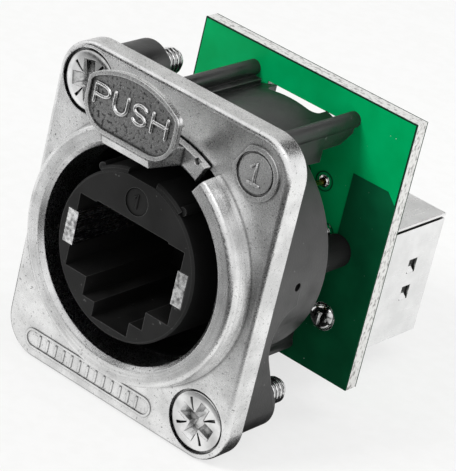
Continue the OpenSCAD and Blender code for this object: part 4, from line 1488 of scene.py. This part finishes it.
@dataclass
class RearJack(SubAssembly):
    """Shielded jack behind the board, with its spring flaps and contacts.

    Attributes:
        flap_bends: For each bend of a flap, how far it lies inside the shield, half its width, and its
            height over the foot.
    """

    half_w: float = 8.0
    flap_t: float = 0.125
    flap_y: float = 29.4
    flap_zs: tuple[float, ...] = (-5.4, -8.3)
    flap_foot: float = 0.75
    flap_bends: tuple[Point, ...] = (
        (0.0, 0.5, -0.05), (0.08, 0.5, 0.15), (0.34, 0.28, 0.62), (0.22, 0.196, 0.74))
    contact_count: int = 8

    def flaps(self) -> str:
        """Bends a spring flap in from the lower edge of each window of the shield."""
        builder = MeshBuilder()
        for side in (-1.0, 1.0):
            for middle in self.flap_zs:
                loops = []
                for inside, half, up in self.flap_bends:
                    z = middle - self.flap_foot + up
                    outer = side * (self.half_w - inside)
                    inner = outer - side * self.flap_t
                    loops.append([(outer, self.flap_y - half, z), (outer, self.flap_y + half, z),
                                  (inner, self.flap_y + half, z), (inner, self.flap_y - half, z)])
                builder.loft(loops)
        return self.add(builder.make("shield_flaps"), TIN_SHEET, Slot.SHEET)

    def build(self) -> list[str]:
        """Dresses shield, insulator and contacts, and adds the flaps."""
        names = self.dress(TIN_SHEET, "rear_jack_shield")
        names += self.dress(JACK_NYLON, "rear_jack_housing")
        names += self.dress(CONTACT_GOLD, *(f"rear_contact_{i + 1}" for i in range(self.contact_count)))
        return names + [self.flaps()]


@dataclass
class Lamp:
    """Soft box of the studio, in mm and watts.

    Attributes:
        lights: Whether it lights dull surfaces.
        mirrored: Whether bright surfaces show it.
    """

    name: str
    place: Point
    size: float
    watts: float
    lights: bool = True
    mirrored: bool = False

    def build(self, target: Vector) -> None:
        """Hangs the lamp and points it at the part.

        Args:
            target: Point in mm that it faces.
        """
        data = bpy.data.lights.new(self.name, "AREA")
        data.shape = "DISK"
        data.size = self.size * MM
        data.energy = self.watts
        lamp = bpy.data.objects.new(self.name, data)
        bpy.context.scene.collection.objects.link(lamp)
        lamp.rotation_mode = "QUATERNION"
        lamp.rotation_quaternion = (Vector(self.place) - target).to_track_quat("Z", "Y")
        lamp.location = Vector(self.place) * MM
        lamp.visible_camera = False
        lamp.visible_diffuse = self.lights
        lamp.visible_glossy = self.mirrored


@dataclass
class Studio:
    """Camera, lamps, paper and cards, and the white round them.

    Attributes:
        clip: Nearest and furthest distance that the camera sees, as shares of its own.
        ambient: Strength of the white where it only lights.
        card_rise: Height of the lying card over the paper.
        contact_shadow_card: Outline in X and Y of the dark card that lies under the part, a painted contact
            shadow that only reflections see.
        contact_shadow_rise: Height of that card over the paper.
    """

    target: Point = (4.939, 2.628, 2.799)
    distance: float = 230.073
    azimuth_deg: float = 33.879
    elevation_deg: float = 25.272
    roll_deg: float = -13.742
    lens: float = 204.92
    sensor: float = 36.0
    clip: Flat = (0.1, 30.0)
    lamps: tuple[Lamp, ...] = (
        Lamp("key_lamp", (-80.0, -190.0, 200.0), 110.0, 0.5),
        Lamp("side_lamp", (210.0, 20.0, 60.0), 140.0, 0.18),
        Lamp("back_lamp", (60.0, 230.0, 170.0), 150.0, 0.2),
        Lamp("edge_box", (105.0, -45.0, 218.0), 60.0, 0.027, lights=False, mirrored=True),
    )
    ambient: float = 0.5
    floor_z: float = -15.5
    floor_r: float = 1500.0
    card_near: float = 14.0
    card_size: float = 260.0
    card_rise: float = 0.5
    standing_cards: tuple[tuple[str, SprayedCard, Point, Flat], ...] = (
        ("dark_card", BLACK_CARD, (-120.0, -170.0, 110.0), (110.0, 75.0)),
        ("grey_card", PALE_CARD, (-150.0, 225.0, 140.0), (170.0, 110.0)),
        ("roof_card", BLACK_CARD, (50.0, 215.0, 205.0), (80.0, 75.0)),
    )
    # Painted contact shadow: a dark card under the part that only reflections see.
    contact_shadow_card: tuple[Flat, ...] = (
        (-30.0, -2.0), (16.0, -2.0), (16.0, 24.0), (13.0, 24.0), (13.0, 13.5), (7.0, 13.5), (7.0, 60.0),
        (-30.0, 60.0))
    contact_shadow_rise: float = 0.02

    def camera(self) -> None:
        """Sets the camera at the viewing angle."""
        turn, rise, roll = (math.radians(a) for a in (self.azimuth_deg, self.elevation_deg, self.roll_deg))
        back = Vector((math.sin(turn) * math.cos(rise), -math.cos(turn) * math.cos(rise), math.sin(rise)))
        level = Vector((math.cos(turn), math.sin(turn), 0.0))
        up = back.cross(level) * math.cos(roll) + level * math.sin(roll)
        data = bpy.data.cameras.new("camera")
        data.sensor_width = self.sensor
        data.lens = self.lens
        data.clip_start, data.clip_end = (self.distance * share * MM for share in self.clip)
        camera = bpy.data.objects.new("camera", data)
        bpy.context.scene.collection.objects.link(camera)
        rotation = Matrix((up.cross(back), up, back)).transposed().to_4x4()
        place = (Vector(self.target) + back * self.distance) * MM
        camera.matrix_world = Matrix.Translation(place) @ rotation
        bpy.context.scene.camera = camera

    def world(self) -> None:
        """Makes the surroundings white where they are seen, and softer where they only light."""
        world = bpy.data.worlds.new("studio")
        world.use_nodes = True
        tree = world.node_tree
        tree.nodes.clear()
        light = add_node(tree, "Background", {"Color": WHITE, "Strength": self.ambient})
        seen = add_node(tree, "Background", {"Color": WHITE, "Strength": 1.0})
        both = add_node(tree, "MixShader", {0: seen_share(tree), 1: light.outputs[0], 2: seen.outputs[0]})
        add_node(tree, "OutputWorld", {"Surface": both.outputs[0]})
        bpy.context.scene.world = world

    def sheet(self, name: str, finish: Finish, corners: Sequence[Point]) -> bpy.types.Object:
        """Lays or stands one flat sheet in the studio.

        Args:
            name: Name of the sheet.
            finish: Its finish.
            corners: Its corners.

        Returns:
            The sheet.
        """
        builder = MeshBuilder()
        builder.face(corners)
        sheet = builder.make(name)
        finish.dress(sheet)
        return sheet

    def card(self, name: str, finish: Finish, corners: Sequence[Point]) -> None:
        """Sets up a card that only reflections see.

        Args:
            name: Name of the card.
            finish: Its finish.
            corners: Its corners.
        """
        card = self.sheet(name, finish, corners)
        card.visible_camera = False
        card.visible_diffuse = False
        card.visible_shadow = False

    def cards(self) -> None:
        """Sets up the cards that the metal and the black plastic show, and a dark card under the part that
        paints its contact shadow into reflections.
        """
        near, far, z = -self.card_near, -self.card_near - self.card_size, self.floor_z + self.card_rise
        flat = [(x * self.card_size, y, z) for x, y in ((-1, far), (1, far), (1, near), (-1, near))]
        self.card("sprayed_card", GREY_CARD, flat)
        for name, finish, at, half in self.standing_cards:
            away = (Vector(at) - Vector(self.target)).normalized()
            across = away.cross(Vector((0.0, 0.0, 1.0))).normalized()
            rise = across.cross(away)
            self.card(name, finish, [
                tuple(Vector(at) + across * u * half[0] + rise * v * half[1]) for u, v in SQUARE])
        # Painted contact shadow for reflections of the floor under the part.
        self.card("contact_shadow_card", BLACK_CARD, [(x, y, self.floor_z + self.contact_shadow_rise) for x, y in self.contact_shadow_card])

    def build(self) -> None:
        """Sets up the whole studio."""
        self.camera()
        for lamp in self.lamps:
            lamp.build(Vector(self.target))
        self.world()
        corners = [(x * self.floor_r, y * self.floor_r, self.floor_z) for x, y in SQUARE]
        self.sheet("paper_floor", PAPER, corners)
        self.cards()
        bpy.context.scene.view_settings.view_transform = "Standard"


def main() -> None:
    """Builds the sub-assemblies in order, reports their pieces and sets up the studio."""
    logging.basicConfig(level=logging.INFO, format="%(message)s")
    parts: tuple[SubAssembly, ...] = (
        FrontFlange(), PushLatch(), LatchPivot(), SocketCore(), RearHousing(), FlangeScrews(),
        CircuitBoard(), RearJack())
    for part in parts:
        for name in part.build():
            log.info("%s: %s", type(part).__name__, name)
    Studio().build()


if __name__ == "__main__":
    main()
